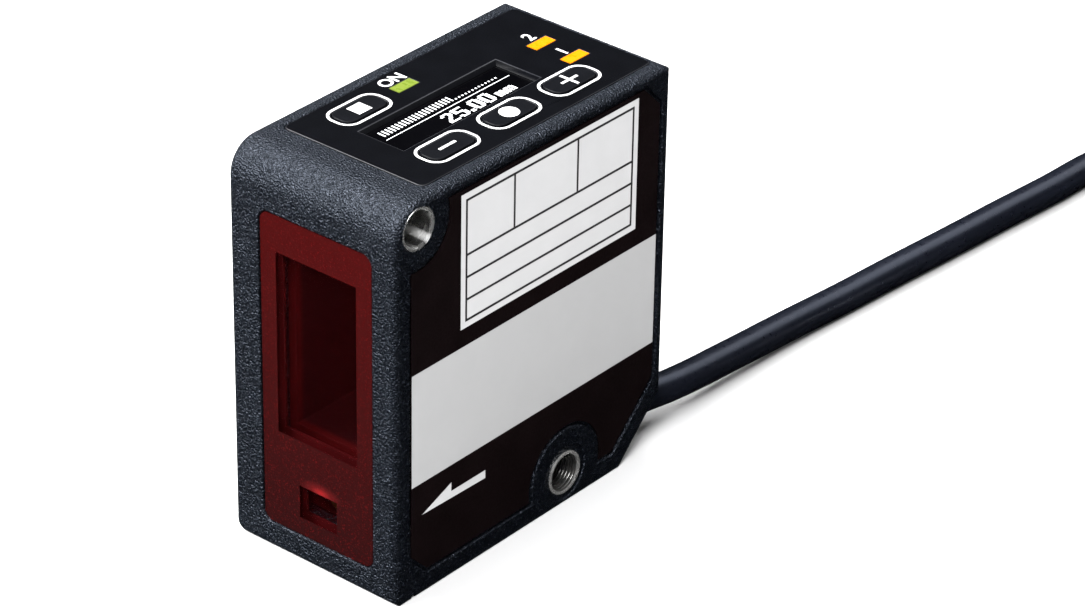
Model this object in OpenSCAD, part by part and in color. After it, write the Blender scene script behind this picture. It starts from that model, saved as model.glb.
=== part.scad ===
// Laser displacement sensor with a display, four keys and a short cable.
// Millimetres. Front window faces -Y, the labelled side faces +X, +Z is up.
// The origin is the centre of the base.

/* [Housing] */
// Width of the housing
body_w = 24.6; // [22:0.1:30]
// Depth of the housing, from window to back
body_d = 46.6; // [42:0.1:56]
// Height of the housing
body_h = 50; // [46:0.5:60]
// Wall opposite the cover
wall = 1.5; // [1.2:0.1:2.2]
// Chamfer along the lower back edge
back_chamfer = 7.5; // [6:0.1:9]
// Rounding of the upper front edge
front_top_r = 4; // [2:0.1:4.4]
// Rounding of the front upright edges and the upper long edges
edge_r = 0.9; // [0.3:0.1:1]
// Rounding of the rear upright edges
back_edge_r = 0.6; // [0.3:0.1:0.8]
// Rounding of the lower edge opposite the cover
foot_r = 1.5; // [0.6:0.1:2]
// Rounding of the upper back edge
back_top_r = 0.9; // [0.4:0.1:1.4]
// Depth of the front rim, from window face to the groove behind it
rim_d = 2.6; // [2:0.1:3]
// Width of the groove behind the front rim
groove_w = 0.6; // [0.3:0.1:1]
// Depth of that groove
groove_t = 0.25; // [0.1:0.05:0.5]
// Depth of the step in the back face
back_step = 0.3; // [0.1:0.05:0.6]
// Height of the band above that step
back_band = 3.5; // [2:0.1:6]

/* [Side cover] */
// Thickness of the cover
cover_t = 1; // [0.8:0.1:1.4]
// Depth of the cover's face below the housing's side
cover_drop = 0.3; // [0.2:0.05:0.5]
// Gap all round the cover
cover_gap = 0.1; // [0.05:0.01:0.2]
// Thickness of the seal under the cover
seal_t = 0.3; // [0.2:0.05:0.5]
// Width of the ledge that the seal lies on
ledge_w = 0.9; // [0.7:0.1:1.2]
// Thickness of the label film
label_t = 0.15; // [0.05:0.01:0.2]
// Margin of cover left bare round the label
label_margin = 0.35; // [0.1:0.05:0.8]
// Distance from the front face to the cover
side_front = 2.4; // [2.2:0.1:3]
// Distance from the back face to the cover
side_back = 1.3; // [1:0.1:2]
// Distance from the top to the cover
side_top = 1.2; // [1.1:0.1:2]
// Distance from the base to the cover
side_base = 2.4; // [2:0.1:3]
// Distance from the back chamfer to the cover's slanted edge
side_slant = 2.5; // [2:0.1:3.5]
// Cut corner at the cover's lower front
corner_front = 2.8; // [1:0.1:4]
// Cut corner at the cover's upper back
corner_back = 3; // [1:0.1:4]
// Radius of the cover's cut-out round the mounting sleeve
sleeve_arc_r = 5; // [4.6:0.1:5.6]
// Radius of the cover's cut-out round the threaded bush
bush_arc_r = 6; // [5:0.1:6.4]

/* [Mounting holes] */
// Distance of the sleeve from the front face
sleeve_in = 3.7; // [3.6:0.05:4.2]
// Distance of the sleeve from the top
sleeve_down = 3.15; // [3.1:0.05:4]
// Outside radius of the sleeve
sleeve_r = 2.55; // [2.45:0.05:2.7]
// Clearance bore of the sleeve
sleeve_bore_r = 2.15; // [2:0.05:2.2]
// Distance of the threaded bush from the back face
nut_in = 17.35; // [16:0.05:19]
// Height of the threaded bush above the base
nut_up = 3.9; // [3.6:0.1:4.6]
// Outside radius of the threaded bush
nut_r = 2.75; // [2.5:0.05:3]
// Core radius of the bush's thread
nut_bore_r = 2.1; // [1.65:0.05:2.1]
// Lead-in of the threaded bush
nut_lead = 0.35; // [0.1:0.05:0.4]
// Radius of the shallow recess round the threaded bush
recess_r = 3.5; // [3.2:0.1:4]
// Depth of that recess
recess_t = 0.2; // [0.1:0.05:0.3]
// Lead-in of the mounting sleeve
sleeve_lead = 0.2; // [0.1:0.05:0.25]
// Metal round the sleeve and the bush
boss_wall = 1.65; // [1.2:0.05:2]

/* [Front window] */
// Width of the window
window_w = 16.4; // [15:0.1:17]
// Distance from the top to the window's upper edge
window_down = 6.5; // [6.3:0.1:8]
// Sideways place of the window
window_x = 0.5; // [0:0.1:1]
// Height of the window's lower edge
window_up = 3.5; // [3:0.1:4.5]
// Rounding of the window's corners
window_r = 1.3; // [0.6:0.1:2]
// Thickness of the window
window_t = 1.2; // [1:0.1:1.4]
// Depth of the window below the front face
window_sink = 0.2; // [0.1:0.05:0.4]
// Gap round the window
window_gap = 0.1; // [0.05:0.01:0.2]
// Width of the ledge behind the window
window_rest = 1.2; // [0.9:0.1:1.5]
// Thickness of the mask behind the window
mask_t = 0.3; // [0.2:0.05:0.5]
// Width of the receiving aperture
rx_w = 11.8; // [9:0.1:12.4]
// Distance from the window's upper edge to the receiving aperture
rx_down = 4.6; // [3:0.1:8]
// Lower edge of the receiving aperture above the base
rx_up = 15.9; // [15.8:0.1:18]
// Width of the laser's aperture
tx_w = 5.6; // [4:0.1:7]
// Height of the laser's aperture
tx_h = 4.2; // [3:0.1:5]
// Height of the laser's axis above the base
tx_axis = 7.9; // [7.8:0.1:8.4]

/* [Top panel] */
// Width of the panel
panel_w = 20.4; // [20:0.1:20.8]
// Distance from the front face to the panel
panel_front = 6.7; // [6.5:0.1:7]
// Distance from the back face to the panel
panel_back = 0.9; // [0.8:0.1:1.4]
// Thickness of the panel
panel_t = 1; // [0.8:0.1:1.1]
// Rounding of the panel's corners
panel_r = 0.8; // [0.3:0.1:1.5]
// Gap round the panel
panel_gap = 0.1; // [0.05:0.01:0.15]
// Width of the ledge under the panel's edge
panel_rest = 1.3; // [1:0.1:1.5]
// Metal left above the cavity under the panel's ledge
top_web = 2.4; // [2:0.1:2.8]
// Width of the display opening
display_w = 6.7; // [5:0.1:7]
// Length of the display opening
display_l = 23.1; // [18:0.1:24]
// Distance from the panel's front edge to the display opening
display_front = 4.7; // [4.2:0.1:5.4]
// Width of the slope round the display opening
bevel = 0.5; // [0.2:0.05:0.7]
// Overlap of the display glass under the panel
glass_lap = 0.45; // [0.2:0.05:0.5]
// Thickness of the display module
glass_t = 2.2; // [1.4:0.1:2.4]
// Width of a light window
light_w = 1.5; // [1:0.1:2]
// Length of a light window
light_l = 3.3; // [2:0.1:4]
// Rim of a light window under the panel
light_rim = 0.4; // [0.2:0.05:0.5]
// Distance from the panel's back edge to the middle of the output lights
light_back = 4.7; // [4:0.1:5]
// Sideways place of the output light on the side of the single key
light_x0 = -2.1; // [-3:0.05:-1.6]
// Sideways place of the other output light
light_x1 = 2.85; // [1.6:0.05:2.9]
// Sideways place of the power light
light_x_power = -6.8; // [-7.2:0.05:-5]
// Distance from the single key to the power light
light_step = 7.6; // [6.6:0.1:10]

/* [Keys] */
// Width of a key
key_w = 3.2; // [3:0.1:3.4]
// Length of a key
key_l = 6.9; // [6:0.1:7.2]
// Rounding of a key's corners
key_r = 1.2; // [0.8:0.1:1.5]
// Gap round a key
key_gap = 0.12; // [0.08:0.01:0.2]
// Travel of a key
key_travel = 0.3; // [0.2:0.05:0.35]
// Height of a key above the panel
key_proud = 0.15; // [0.05:0.05:0.3]
// Rim that keeps a key under the panel
key_rim = 0.4; // [0.2:0.05:0.45]
// Sideways place of the three keys beside the display
key_x = 6.2; // [6:0.05:6.5]
// Sideways place of the single key
key_x_single = -6.65; // [-6.9:0.05:-6.4]
// Distance from the panel's front edge to the middle of the first keys
key_front = 8.6; // [8.4:0.1:9]
// Distance from the panel's back edge to the middle of the last key
key_back = 9.7; // [9:0.1:11]

/* [Boards] */
// Thickness of the circuit boards
board_t = 1.2; // [0.8:0.1:1.6]
// Gap between a board and what guides it
board_gap = 0.1; // [0.05:0.01:0.2]
// Height of the space between panel and control board
control_h = 2.8; // [2.6:0.1:3.2]
// Distance from the back face to the main board
main_in = 8.3; // [7.5:0.1:8.6]
// Height of the main board's lower edge
main_up = 10; // [9.6:0.1:11]

/* [Optics] */
// Width of the optics frame
optics_w = 14.3; // [13.9:0.1:14.6]
// Space between the optics frame and the main board
optics_back = 4.8; // [4:0.1:7]
// Gap between the housing's front wall and the optics frame
optics_gap = 0.2; // [0.1:0.05:0.5]
// Height of the floor between the laser and the receiver
optics_floor = 13.2; // [12.9:0.1:13.8]
// Wall above the receiver chamber
optics_roof = 1; // [0.8:0.1:1.4]
// Downward tilt of the receiving lens
rx_tilt = 12; // [5:1:16]
// Radius of the receiving lens
lens_r = 5; // [4:0.1:5.3]
// Thickness of the receiving lens
lens_t = 3; // [2:0.1:3.4]
// Radius of the lens surface
lens_curve = 9; // [7:0.5:20]
// Outside radius of the laser barrel
barrel_r = 3.4; // [3.2:0.05:3.5]
// Length of the laser barrel
barrel_l = 11; // [9:0.1:11.4]
// Running gap of pieces seated in bores
seat_gap = 0.05; // [0.02:0.01:0.1]

/* [Cable and plug] */
// Diameter of the cable
cable_d = 4; // [3:0.1:4.2]
// Distance of the cable outlet from the labelled side
cable_side = 4.2; // [4.2:0.1:6]
// Height of the cable outlet
cable_z = 4; // [3.9:0.1:4.2]
// Outside radius of the cable bush
gland_r = 2.5; // [2.3:0.05:2.5]
// Gap between the cable and its bush
cable_gap = 0.1; // [0.05:0.01:0.2]
// Height of the cable bush above the chamfer
gland_proud = 0.5; // [0.2:0.1:1]
// Radius of the plug's grip
grip_r = 5; // [4.6:0.1:5]
// Length of the plug's grip
grip_l = 16; // [12:0.5:20]
// Radius of the plug's screw thread
screw_r = 3.95; // [3.9:0.05:4]
// Gap between the plug's screw and its contact carrier
screw_gap = 0.15; // [0.1:0.01:0.25]

/* [Hidden] */
$fn = 48;
eps = 0.01;
paint = "#2a2e35";
black = "#1b1c20";
steel = "#c9ccd0";
board_green = "#1f5b3a";

xo = body_w / 2;
yf = -body_d / 2;
yb = body_d / 2;
zt = body_h;
x_wall = -xo + wall;

// Side cover
x_cover = xo - cover_drop;
x_under = x_cover - cover_t;
x_ledge = x_under - seal_t;
y_side0 = yf + side_front;
y_side1 = yb - side_back;
z_side0 = side_base;
z_side1 = zt - side_top;
slant = yb - back_chamfer - side_slant * sqrt(2);
side_outline = [
    [y_side0 + corner_front, z_side0],
    [slant + z_side0, z_side0],
    [y_side1, y_side1 - slant],
    [y_side1, z_side1 - corner_back],
    [y_side1 - corner_back, z_side1],
    [y_side0, z_side1],
    [y_side0, z_side0 + corner_front]
];

// Mounting holes
sleeve_y = yf + sleeve_in;
sleeve_z = zt - sleeve_down;
nut_y = yb - nut_in;
nut_z = nut_up;

// Front window
window_h = zt - window_down - window_up;
window_z = window_up + window_h / 2;
rx_h = zt - window_down - rx_down - rx_up;
y_window = yf + window_sink;
y_mask = y_window + window_t;
y_seat = y_mask + mask_t;
y_front_in = y_side0 + ledge_w;

// Top panel
z_panel = zt - panel_t;
z_cavity = z_panel - top_web;
panel_y0 = yf + panel_front;
panel_y1 = yb - panel_back;
z_control = z_panel - control_h;
z_control_under = z_control - board_t;
display_y = panel_y0 + display_front + display_l / 2;
key_y = panel_y0 + key_front;
key_pitch = (panel_y1 - key_back - key_y) / 2;
keys_right = [for (i = [0 : 2]) [key_x, key_y + i * key_pitch]];
light_power = [light_x_power, key_y + light_step];
lights_output = [for (x = [light_x0, light_x1]) [x, panel_y1 - light_back]];
post_r = 0.9;
post_side = 2.4;
post_end = 3.2;
led_w = 1;
led_l = 1.6;
led_h = 0.7;
led_gap = 0.1;
light_rim_h = 0.6;
switch_h = 0.95;
key_stem_z = z_control + switch_h + key_travel + key_gap;
key_rim_z = z_panel - 1;
key_rim_h = 0.8;
posts = [
    for (x = [-panel_w / 2 + post_side, panel_w / 2 - post_side])
        for (y = [panel_y0 + post_end, panel_y1 - post_end])
            [x, y]
];

// Chips on the main board
cpu_w = 9;
cpu_up = 14;
chip_t = 1;
chip_low = 4;
chip_side = 1.5;
driver_w = 5;
driver_h = 6;
coil_t = 2.4;
memory_w = 3.5;
memory_up = 27;

// Cover screws
lug_r = 2;
lug_h = 1.6;
ledge_t = 1.7;
lug_inset = 1.2;
lug_low = 7;
lug_high = 10.8;
lug_back_low = 3.7;
lug_back_high = 6.8;
lugs = [
    [y_front_in + lug_inset, z_side0 + lug_low],
    [y_front_in + lug_inset, z_side1 - lug_high],
    [y_side1 - ledge_w - lug_inset, y_side1 - slant + lug_back_low],
    [y_side1 - ledge_w - lug_inset, z_side1 - lug_back_high]
];
cover_screw_r = 1;
cover_head_r = 1.8;
cover_screw_l = 1.5;

// Optics
optics_x0 = window_x - optics_w / 2;
optics_x1 = window_x + optics_w / 2;
optics_y0 = y_front_in + optics_gap;
main_y = yb - main_in;
optics_y1 = main_y - optics_back;
rx_z0 = rx_up;
rx_z1 = rx_up + rx_h;
chamber_gap = 0.2;
chamber_top = 0.7;
chamber_low = 0.6;
optics_foot = 0.5;
optics_z0 = side_base + ledge_w + optics_foot;
optics_z1 = rx_z1 + chamber_top + optics_roof;
base_t = 1.2;
pad_h = 1;
pad_r = 2;
x_base = x_wall + pad_h;
ear_r = 1.5;
ear_front = 8.5;
ear_back = 3.5;
ear_low = 18.5;
ears = [
    [optics_y0 + ear_front, optics_z1 + ear_r],
    [optics_y1 - ear_back, optics_z1 + ear_r],
    [optics_y0 + ear_low, optics_floor - ear_r]
];
lens_in = 12.4;
lens_wall = 5.2;
lens_stop = 0.7;
lens_pos = [window_x, optics_y0 + lens_in, (rx_z0 + rx_z1) / 2];
rear_w = 11;
rear_low = 2;
rear_wall = 2;
laser_in = 1.5;
laser_y0 = optics_y0 + laser_in;
laser_y1 = laser_y0 + barrel_l;
laser_block_l = 15.3;
laser_block_w = 9.4;
collimator_r = 2.2;
collimator_t = 1.8;
diode_flange_r = 2.8;
diode_flange_t = 1.2;
diode_can_r = 1.75;
barrel_bore_r = 1.9;
sensor_w = 4;
sensor_room = 0.4;
sensor_rise = 3;
sensor_screw_in = 1.6;
sensor_h = rx_h - 7;
sensor_t = 1.7;
sensor_z = lens_pos[2] + sensor_rise;

// Screws that hold the optics
screw_head_r = 1.5;
screw_head_h = 1.1;
screw_shank_r = 0.8;

// Cable
cable_x = xo - cable_side;
gland_y0 = yb - 8;
header_z = main_up;
wire_r = 0.35;
wire_pitch = 0.8;
wire_bend = 1.2;
wire_y = gland_y0 - 0.4 - wire_bend;
route = [
    [cable_x, gland_y0 - 0.2, cable_z], [cable_x, yb - 0.3, cable_z],
    [9.1, 30, 3.7], [9.4, 40, 3.0], [9.7, 52, 2.3], [10.4, 62, 2],
    [11.2, 72, 2], [12.1, 82, 2], [12.9, 92, 2], [13.8, 102, 2], [14.6, 113, 2],
    [16.2, 119.5, 2], [21.1, 124.8, 2], [28.6, 127, 2.4], [36.1, 124.8, 3.2],
    [41.0, 119.5, 4.2], [42.6, 113, 4.8], [42.6, 111, 5], [42.6, 109, 5]
];

// Plug, along -Y from the end of the cable
plug_pos = [42.6, 109, 5];
boot_l = 6;
carrier_r = 2.85;
carrier_l = 5.5;
knurl_r = 4.7;
knurl_l = 5.6;
thread_l = 4.6;
pin_r = 0.5;
pin_l = 4;
pin_circle = 1.5;

// Moves the corners of a counterclockwise outline inwards by m
function unit(v) = v / norm(v);
function inward(a, b) = let (d = unit(b - a)) [-d[1], d[0]];
function inset(p, m) = [
    for (i = [0 : len(p) - 1])
        let (
            n = len(p),
            n1 = inward(p[(i + n - 1) % n], p[i]),
            n2 = inward(p[i], p[(i + 1) % n])
        )
        p[i] + m * (n1 + n2) / (1 + n1 * n2)
];

// Box between two corners
module block(a, b) {
    translate(a)
        cube(b - a);
}

// Round bar along X, Y or Z
module bar_x(y, z, x0, x1, r) {
    translate([x0, y, z])
        rotate([0, 90, 0])
            cylinder(h = x1 - x0, r = r);
}

module bar_y(x, z, y0, y1, r) {
    translate([x, y0, z])
        rotate([-90, 0, 0])
            cylinder(h = y1 - y0, r = r);
}

module bar_z(x, y, z0, z1, r) {
    translate([x, y, z0])
        cylinder(h = z1 - z0, r = r);
}

// Flat plate with rounded corners, centred on the Z axis
module plate(w, l, r, h) {
    translate([-w / 2 + r, -l / 2, 0])
        cube([w - 2 * r, l, h]);
    translate([-w / 2, -l / 2 + r, 0])
        cube([w, l - 2 * r, h]);
    for (sx = [-1, 1])
        for (sy = [-1, 1])
            translate([sx * (w / 2 - r), sy * (l / 2 - r), 0])
                cylinder(h = h, r = r);
}

// Upright plate in the front wall, from y0 back to y1
module front_plate(w, h, r, x, z, y0, y1) {
    translate([x, y1, z])
        rotate([90, 0, 0])
            plate(w, h, r, y1 - y0);
}

// Prism of a side outline between two places across the width
module side_prism(outline, x0, x1) {
    translate([x0, 0, 0])
        rotate([90, 0, 90])
            linear_extrude(x1 - x0)
                polygon(outline);
}

// The cover's shape, shrunk by m
module cover_shape(m, x0, x1) {
    difference() {
        side_prism(inset(side_outline, m), x0, x1);
        bar_x(sleeve_y, sleeve_z, x0 - 1, x1 + 1, sleeve_arc_r + m);
        bar_x(nut_y, nut_z, x0 - 1, x1 + 1, bush_arc_r + m);
    }
}

// What a rounded edge takes away, along Z, with the metal towards +X and +Y
module edge_cut(r, l) {
    difference() {
        translate([-1, -1, 0])
            cube([r + 1, r + 1, l]);
        translate([r, r, -1])
            cylinder(h = l + 2, r = r);
    }
}

// The same round a quarter bend of radius R about Z, from -X to -Y, with the metal towards +Z
module bend_cut(r, R) {
    rotate([0, 0, 180])
        rotate_extrude(angle = 90)
            difference() {
                translate([R - r, -1])
                    square([r + 1, r + 1]);
                translate([R - r, r])
                    circle(r = r);
            }
}

// Outside form of the housing
module body_block() {
    over = 1;
    difference() {
        block([-xo, yf, 0], [xo, yb, zt]);
        for (mx = [0, 1])
            mirror([mx, 0, 0]) {
                translate([-xo, yf + front_top_r, zt - front_top_r])
                    rotate([0, 90, 0])
                        bend_cut(edge_r, front_top_r);
                translate([-xo, yf + front_top_r, zt])
                    rotate([-90, 0, 0])
                        edge_cut(edge_r, body_d);
                translate([-xo, yb, -over])
                    mirror([0, 1, 0])
                        edge_cut(back_edge_r, zt + 2 * over);
            }
        translate([-xo, yf, foot_r])
            edge_cut(edge_r, zt - front_top_r - foot_r);
        translate([xo, yf, -over])
            mirror([1, 0, 0])
                edge_cut(edge_r, zt - front_top_r + over);
        translate([-xo, yf - over, 0])
            mirror([0, 0, 1])
                rotate([-90, 0, 0])
                    edge_cut(foot_r, body_d + 2 * over);
        translate([-xo + foot_r, yf, foot_r])
            mirror([0, 1, 0])
                rotate([90, 0, 0])
                    bend_cut(min(edge_r, foot_r), foot_r);
        translate([-xo - over, yf, zt])
            mirror([0, 0, 1])
                rotate([90, 0, 90])
                    edge_cut(front_top_r, body_w + 2 * over);
        translate([-xo - over, yb, zt])
            mirror([0, 1, 0])
                mirror([0, 0, 1])
                    rotate([90, 0, 90])
                        edge_cut(back_top_r, body_w + 2 * over);
        translate([-xo + foot_r, yf, 0])
            rotate([90, 0, 90])
                edge_cut(edge_r, body_w - foot_r + over);
        side_prism([
            [yb - back_chamfer - over, -over],
            [yb + over, -over],
            [yb + over, back_chamfer + over]
        ], -xo - over, xo + over);
        block([-xo - over, yf + rim_d, -over],
            [xo + over, yf + rim_d + groove_w, groove_t]);
        block([-xo - over, yb - back_step, -over],
            [xo + over, yb + over, zt - back_band]);
    }
}

// Hollow of the housing, with the bosses, ribs and lugs that stay in it
module cavity() {
    difference() {
        intersection() {
            side_prism(inset(side_outline, ledge_w), x_wall, x_ledge + eps);
            block([x_wall - 1, yf, 0], [xo, yb, z_cavity]);
        }
        bar_x(sleeve_y, sleeve_z, x_wall - 1, x_ledge + 1, sleeve_r + boss_wall);
        bar_x(nut_y, nut_z, x_wall - 1, x_ledge + 1, nut_r + boss_wall);
        bar_x(sleeve_y, sleeve_z, x_ledge - ledge_t, x_ledge + 1, sleeve_arc_r + ledge_w);
        bar_x(nut_y, nut_z, x_ledge - ledge_t, x_ledge + 1, bush_arc_r + ledge_w);
        for (p = lugs)
            bar_x(p[0], p[1], x_ledge - lug_h, x_ledge + 1, lug_r);
        for (p = ears)
            bar_x(p[0], p[1], x_wall - 1, x_base, pad_r);
        for (y = [main_y - board_gap - 1.2, main_y + board_t + board_gap])
            block([x_wall - 1, y, main_up - 1.2], [x_wall + 1.2, y + 1.2, z_control_under - 1]);
        block([x_wall - 1, main_y - 1, main_up - 1.2], [x_wall + 1.2, main_y + board_t + 1, main_up]);
    }
}

module housing() {
    color(paint)
        difference() {
            body_block();
            cavity();
            cover_shape(-cover_gap, x_ledge, xo + 1);
            front_plate(window_w + 2 * window_gap, window_h + 2 * window_gap,
                window_r + window_gap, window_x, window_z, yf - 1, y_seat);
            front_plate(window_w - 2 * window_rest, window_h - 2 * window_rest,
                window_r, window_x, window_z, yf - 1, y_front_in + 1);
            translate([0, (panel_y0 + panel_y1) / 2, z_panel])
                plate(panel_w + 2 * panel_gap, panel_y1 - panel_y0 + 2 * panel_gap,
                    panel_r + panel_gap, panel_t + 1);
            translate([0, (panel_y0 + panel_y1) / 2, z_cavity - 1])
                plate(panel_w - 2 * panel_rest, panel_y1 - panel_y0 - 2 * panel_rest,
                    panel_r, top_web + 2);
            bar_x(sleeve_y, sleeve_z, -xo - 1, xo + 1, sleeve_r);
            bar_x(nut_y, nut_z, -xo - 1, xo + 1, nut_r);
            for (mx = [0, 1])
                mirror([mx, 0, 0])
                    bar_x(nut_y, nut_z, xo - recess_t, xo + 1, recess_r);
            bar_y(cable_x, cable_z, gland_y0 - 2.2, yb + 1, gland_r);
            for (p = lugs)
                bar_x(p[0], p[1], x_under - cover_screw_l - 0.2, xo, cover_screw_r);
            for (p = ears)
                bar_x(p[0], p[1], x_wall - 0.8, x_base + 1, screw_shank_r);
        }
}

module side_cover() {
    color(paint)
        difference() {
            cover_shape(0, x_under, x_cover);
            for (p = lugs)
                cover_screw_cut(p[0], p[1], seat_gap);
        }
}

// Countersunk hole, or screw, through the cover
module cover_screw_cut(y, z, gap) {
    translate([x_cover, y, z])
        rotate([0, -90, 0]) {
            translate([0, 0, -eps])
                cylinder(h = cover_head_r - cover_screw_r + eps, r1 = cover_head_r + gap, r2 = cover_screw_r + gap);
            cylinder(h = cover_t + eps, r = cover_screw_r + gap);
        }
}

module cover_screws() {
    color(steel)
        for (p = lugs)
            difference() {
                translate([x_cover, p[0], p[1]])
                    rotate([0, -90, 0]) {
                        cylinder(h = cover_head_r - cover_screw_r, r1 = cover_head_r, r2 = cover_screw_r);
                        cylinder(h = cover_t + cover_screw_l, r = cover_screw_r);
                    }
                bar_x(p[0], p[1], x_cover - 0.6, x_cover + 1, 0.55, $fn = 6);
            }
}

module cover_seal() {
    color("#3a3a3c")
        difference() {
            cover_shape(0.15, x_ledge, x_under);
            cover_shape(ledge_w - 0.1, x_ledge - 1, x_under + 1);
        }
}

module side_label() {
    color("#1d1012")
        cover_shape(label_margin, x_cover, x_cover + label_t);
}

module front_window() {
    color("#7a1a1e")
        front_plate(window_w, window_h, window_r, window_x, window_z, y_window, y_mask);
}

module aperture_mask() {
    color("#180c0e")
        difference() {
            front_plate(window_w, window_h, window_r, window_x, window_z, y_mask, y_seat);
            block([window_x - rx_w / 2, y_mask - 1, rx_z0], [window_x + rx_w / 2, y_seat + 1, rx_z1]);
            block([window_x - tx_w / 2, y_mask - 1, tx_axis - tx_h / 2],
                [window_x + tx_w / 2, y_seat + 1, tx_axis + tx_h / 2]);
        }
}

// Opening for a key or a light in the panel
module panel_hole(w, l, r) {
    translate([0, 0, z_panel - 1])
        plate(w, l, r, panel_t + 2);
}

module control_panel() {
    color(black)
        difference() {
            union() {
                translate([0, (panel_y0 + panel_y1) / 2, z_panel])
                    plate(panel_w, panel_y1 - panel_y0, panel_r, panel_t);
                for (p = posts)
                    bar_z(p[0], p[1], z_control, z_panel + eps, post_r);
            }
            translate([0, display_y, 0]) {
                block([-display_w / 2 + bevel, -display_l / 2 + bevel, z_panel - 1],
                    [display_w / 2 - bevel, display_l / 2 - bevel, zt + 1]);
                hull() {
                    block([-display_w / 2 + bevel, -display_l / 2 + bevel, zt - bevel],
                        [display_w / 2 - bevel, display_l / 2 - bevel, zt]);
                    block([-display_w / 2, -display_l / 2, zt],
                        [display_w / 2, display_l / 2, zt + 0.1]);
                }
            }
            for (p = keys_right)
                translate([p[0], p[1], 0])
                    panel_hole(key_w + 2 * key_gap, key_l + 2 * key_gap, key_r + key_gap);
            translate([key_x_single, key_y, 0])
                panel_hole(key_w + 2 * key_gap, key_l + 2 * key_gap, key_r + key_gap);
            for (p = concat([light_power], lights_output))
                translate([p[0], p[1], zt])
                    cube([light_w + 2 * seat_gap, light_l + 2 * seat_gap, 4 * panel_t], center = true);
        }
}

module display_module() {
    w = display_w - 2 * bevel + 2 * glass_lap;
    l = display_l - 2 * bevel + 2 * glass_lap;
    front_w = display_w - 2 * bevel - 2 * seat_gap;
    front_l = display_l - 2 * bevel - 2 * seat_gap;
    color("#0b0c10") {
        translate([-w / 2, display_y - l / 2, z_panel - glass_t])
            cube([w, l, glass_t]);
        translate([-front_w / 2, display_y - front_l / 2, z_panel - eps])
            cube([front_w, front_l, panel_t - bevel - seat_gap + eps]);
    }
    color(board_green)
        translate([-w / 2 + 0.4, display_y - l / 2 + 0.4, z_control])
            cube([w - 0.8, l - 0.8, control_h - glass_t + eps]);
}

// Push key with the rim that keeps it under the panel and the stem to its switch
module key(x, y) {
    color(black)
        translate([x, y, 0]) {
            translate([0, 0, key_rim_z])
                plate(key_w, key_l, key_r, zt + key_proud - key_rim_z);
            translate([0, 0, key_rim_z])
                plate(key_w + 2 * key_rim, key_l + 2 * key_rim, key_r + key_rim, key_rim_h);
            translate([0, 0, key_stem_z])
                cylinder(h = key_rim_z - key_stem_z + eps, r = 0.9);
        }
}

module key_stop() {
    key(key_x_single, key_y);
}

module key_minus() {
    key(keys_right[0][0], keys_right[0][1]);
}

module key_set() {
    key(keys_right[1][0], keys_right[1][1]);
}

module key_plus() {
    key(keys_right[2][0], keys_right[2][1]);
}

// Light window with a rim against the panel's underside
module light_window(p) {
    translate([p[0] - light_w / 2, p[1] - light_l / 2, z_control + led_h + led_gap])
        cube([light_w, light_l, zt - z_control - led_h - led_gap]);
    translate([p[0] - light_w / 2 - light_rim, p[1] - light_l / 2 - light_rim, z_panel - light_rim_h])
        cube([light_w + 2 * light_rim, light_l + 2 * light_rim, light_rim_h]);
}

module power_light() {
    color("#8fd04a")
        light_window(light_power);
}

module output_lights() {
    color("#f2c41a")
        for (p = lights_output)
            light_window(p);
}

module indicator_leds() {
    color("#e8e6dc")
        for (p = concat([light_power], lights_output))
            translate([p[0] - led_w / 2, p[1] - led_l / 2, z_control])
                cube([led_w, led_l, led_h]);
}

module key_switches() {
    color("#b9bcc0")
        for (p = concat(keys_right, [[key_x_single, key_y]]))
            translate([p[0], p[1], z_control]) {
                translate([-1.4, -1.8, 0])
                    cube([2.8, 3.6, 0.7]);
                cylinder(h = switch_h, r = 0.8);
            }
}

module control_board() {
    edge = panel_rest + 2 * board_gap;
    color(board_green)
        translate([0, (panel_y0 + panel_y1) / 2, z_control_under])
            plate(panel_w - 2 * edge, panel_y1 - panel_y0 - 2 * edge, panel_r, board_t);
}

module main_board() {
    color(board_green)
        block([x_wall + board_gap, main_y, main_up],
            [x_ledge - 0.3, main_y + board_t, z_control_under - 0.6]);
}

// Chip on the back of the main board, from its lower corner
module chip(x, up, w, h, t) {
    translate([x, main_y + board_t, main_up + up])
        cube([w, t, h]);
}

module board_chips() {
    color("#202226") {
        chip(-cpu_w / 2, cpu_up, cpu_w, cpu_w, chip_t);
        chip(-driver_w - chip_side, chip_low, driver_w, driver_h, chip_t);
        chip(chip_side, chip_low, driver_w, driver_w, coil_t);
        chip(-memory_w - 2 * chip_side, memory_up, memory_w, memory_w, chip_t);
    }
}

module board_header() {
    color(black)
        block([-6, main_y - 2.2, z_control_under - 2.4], [6, main_y, z_control_under]);
}

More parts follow.
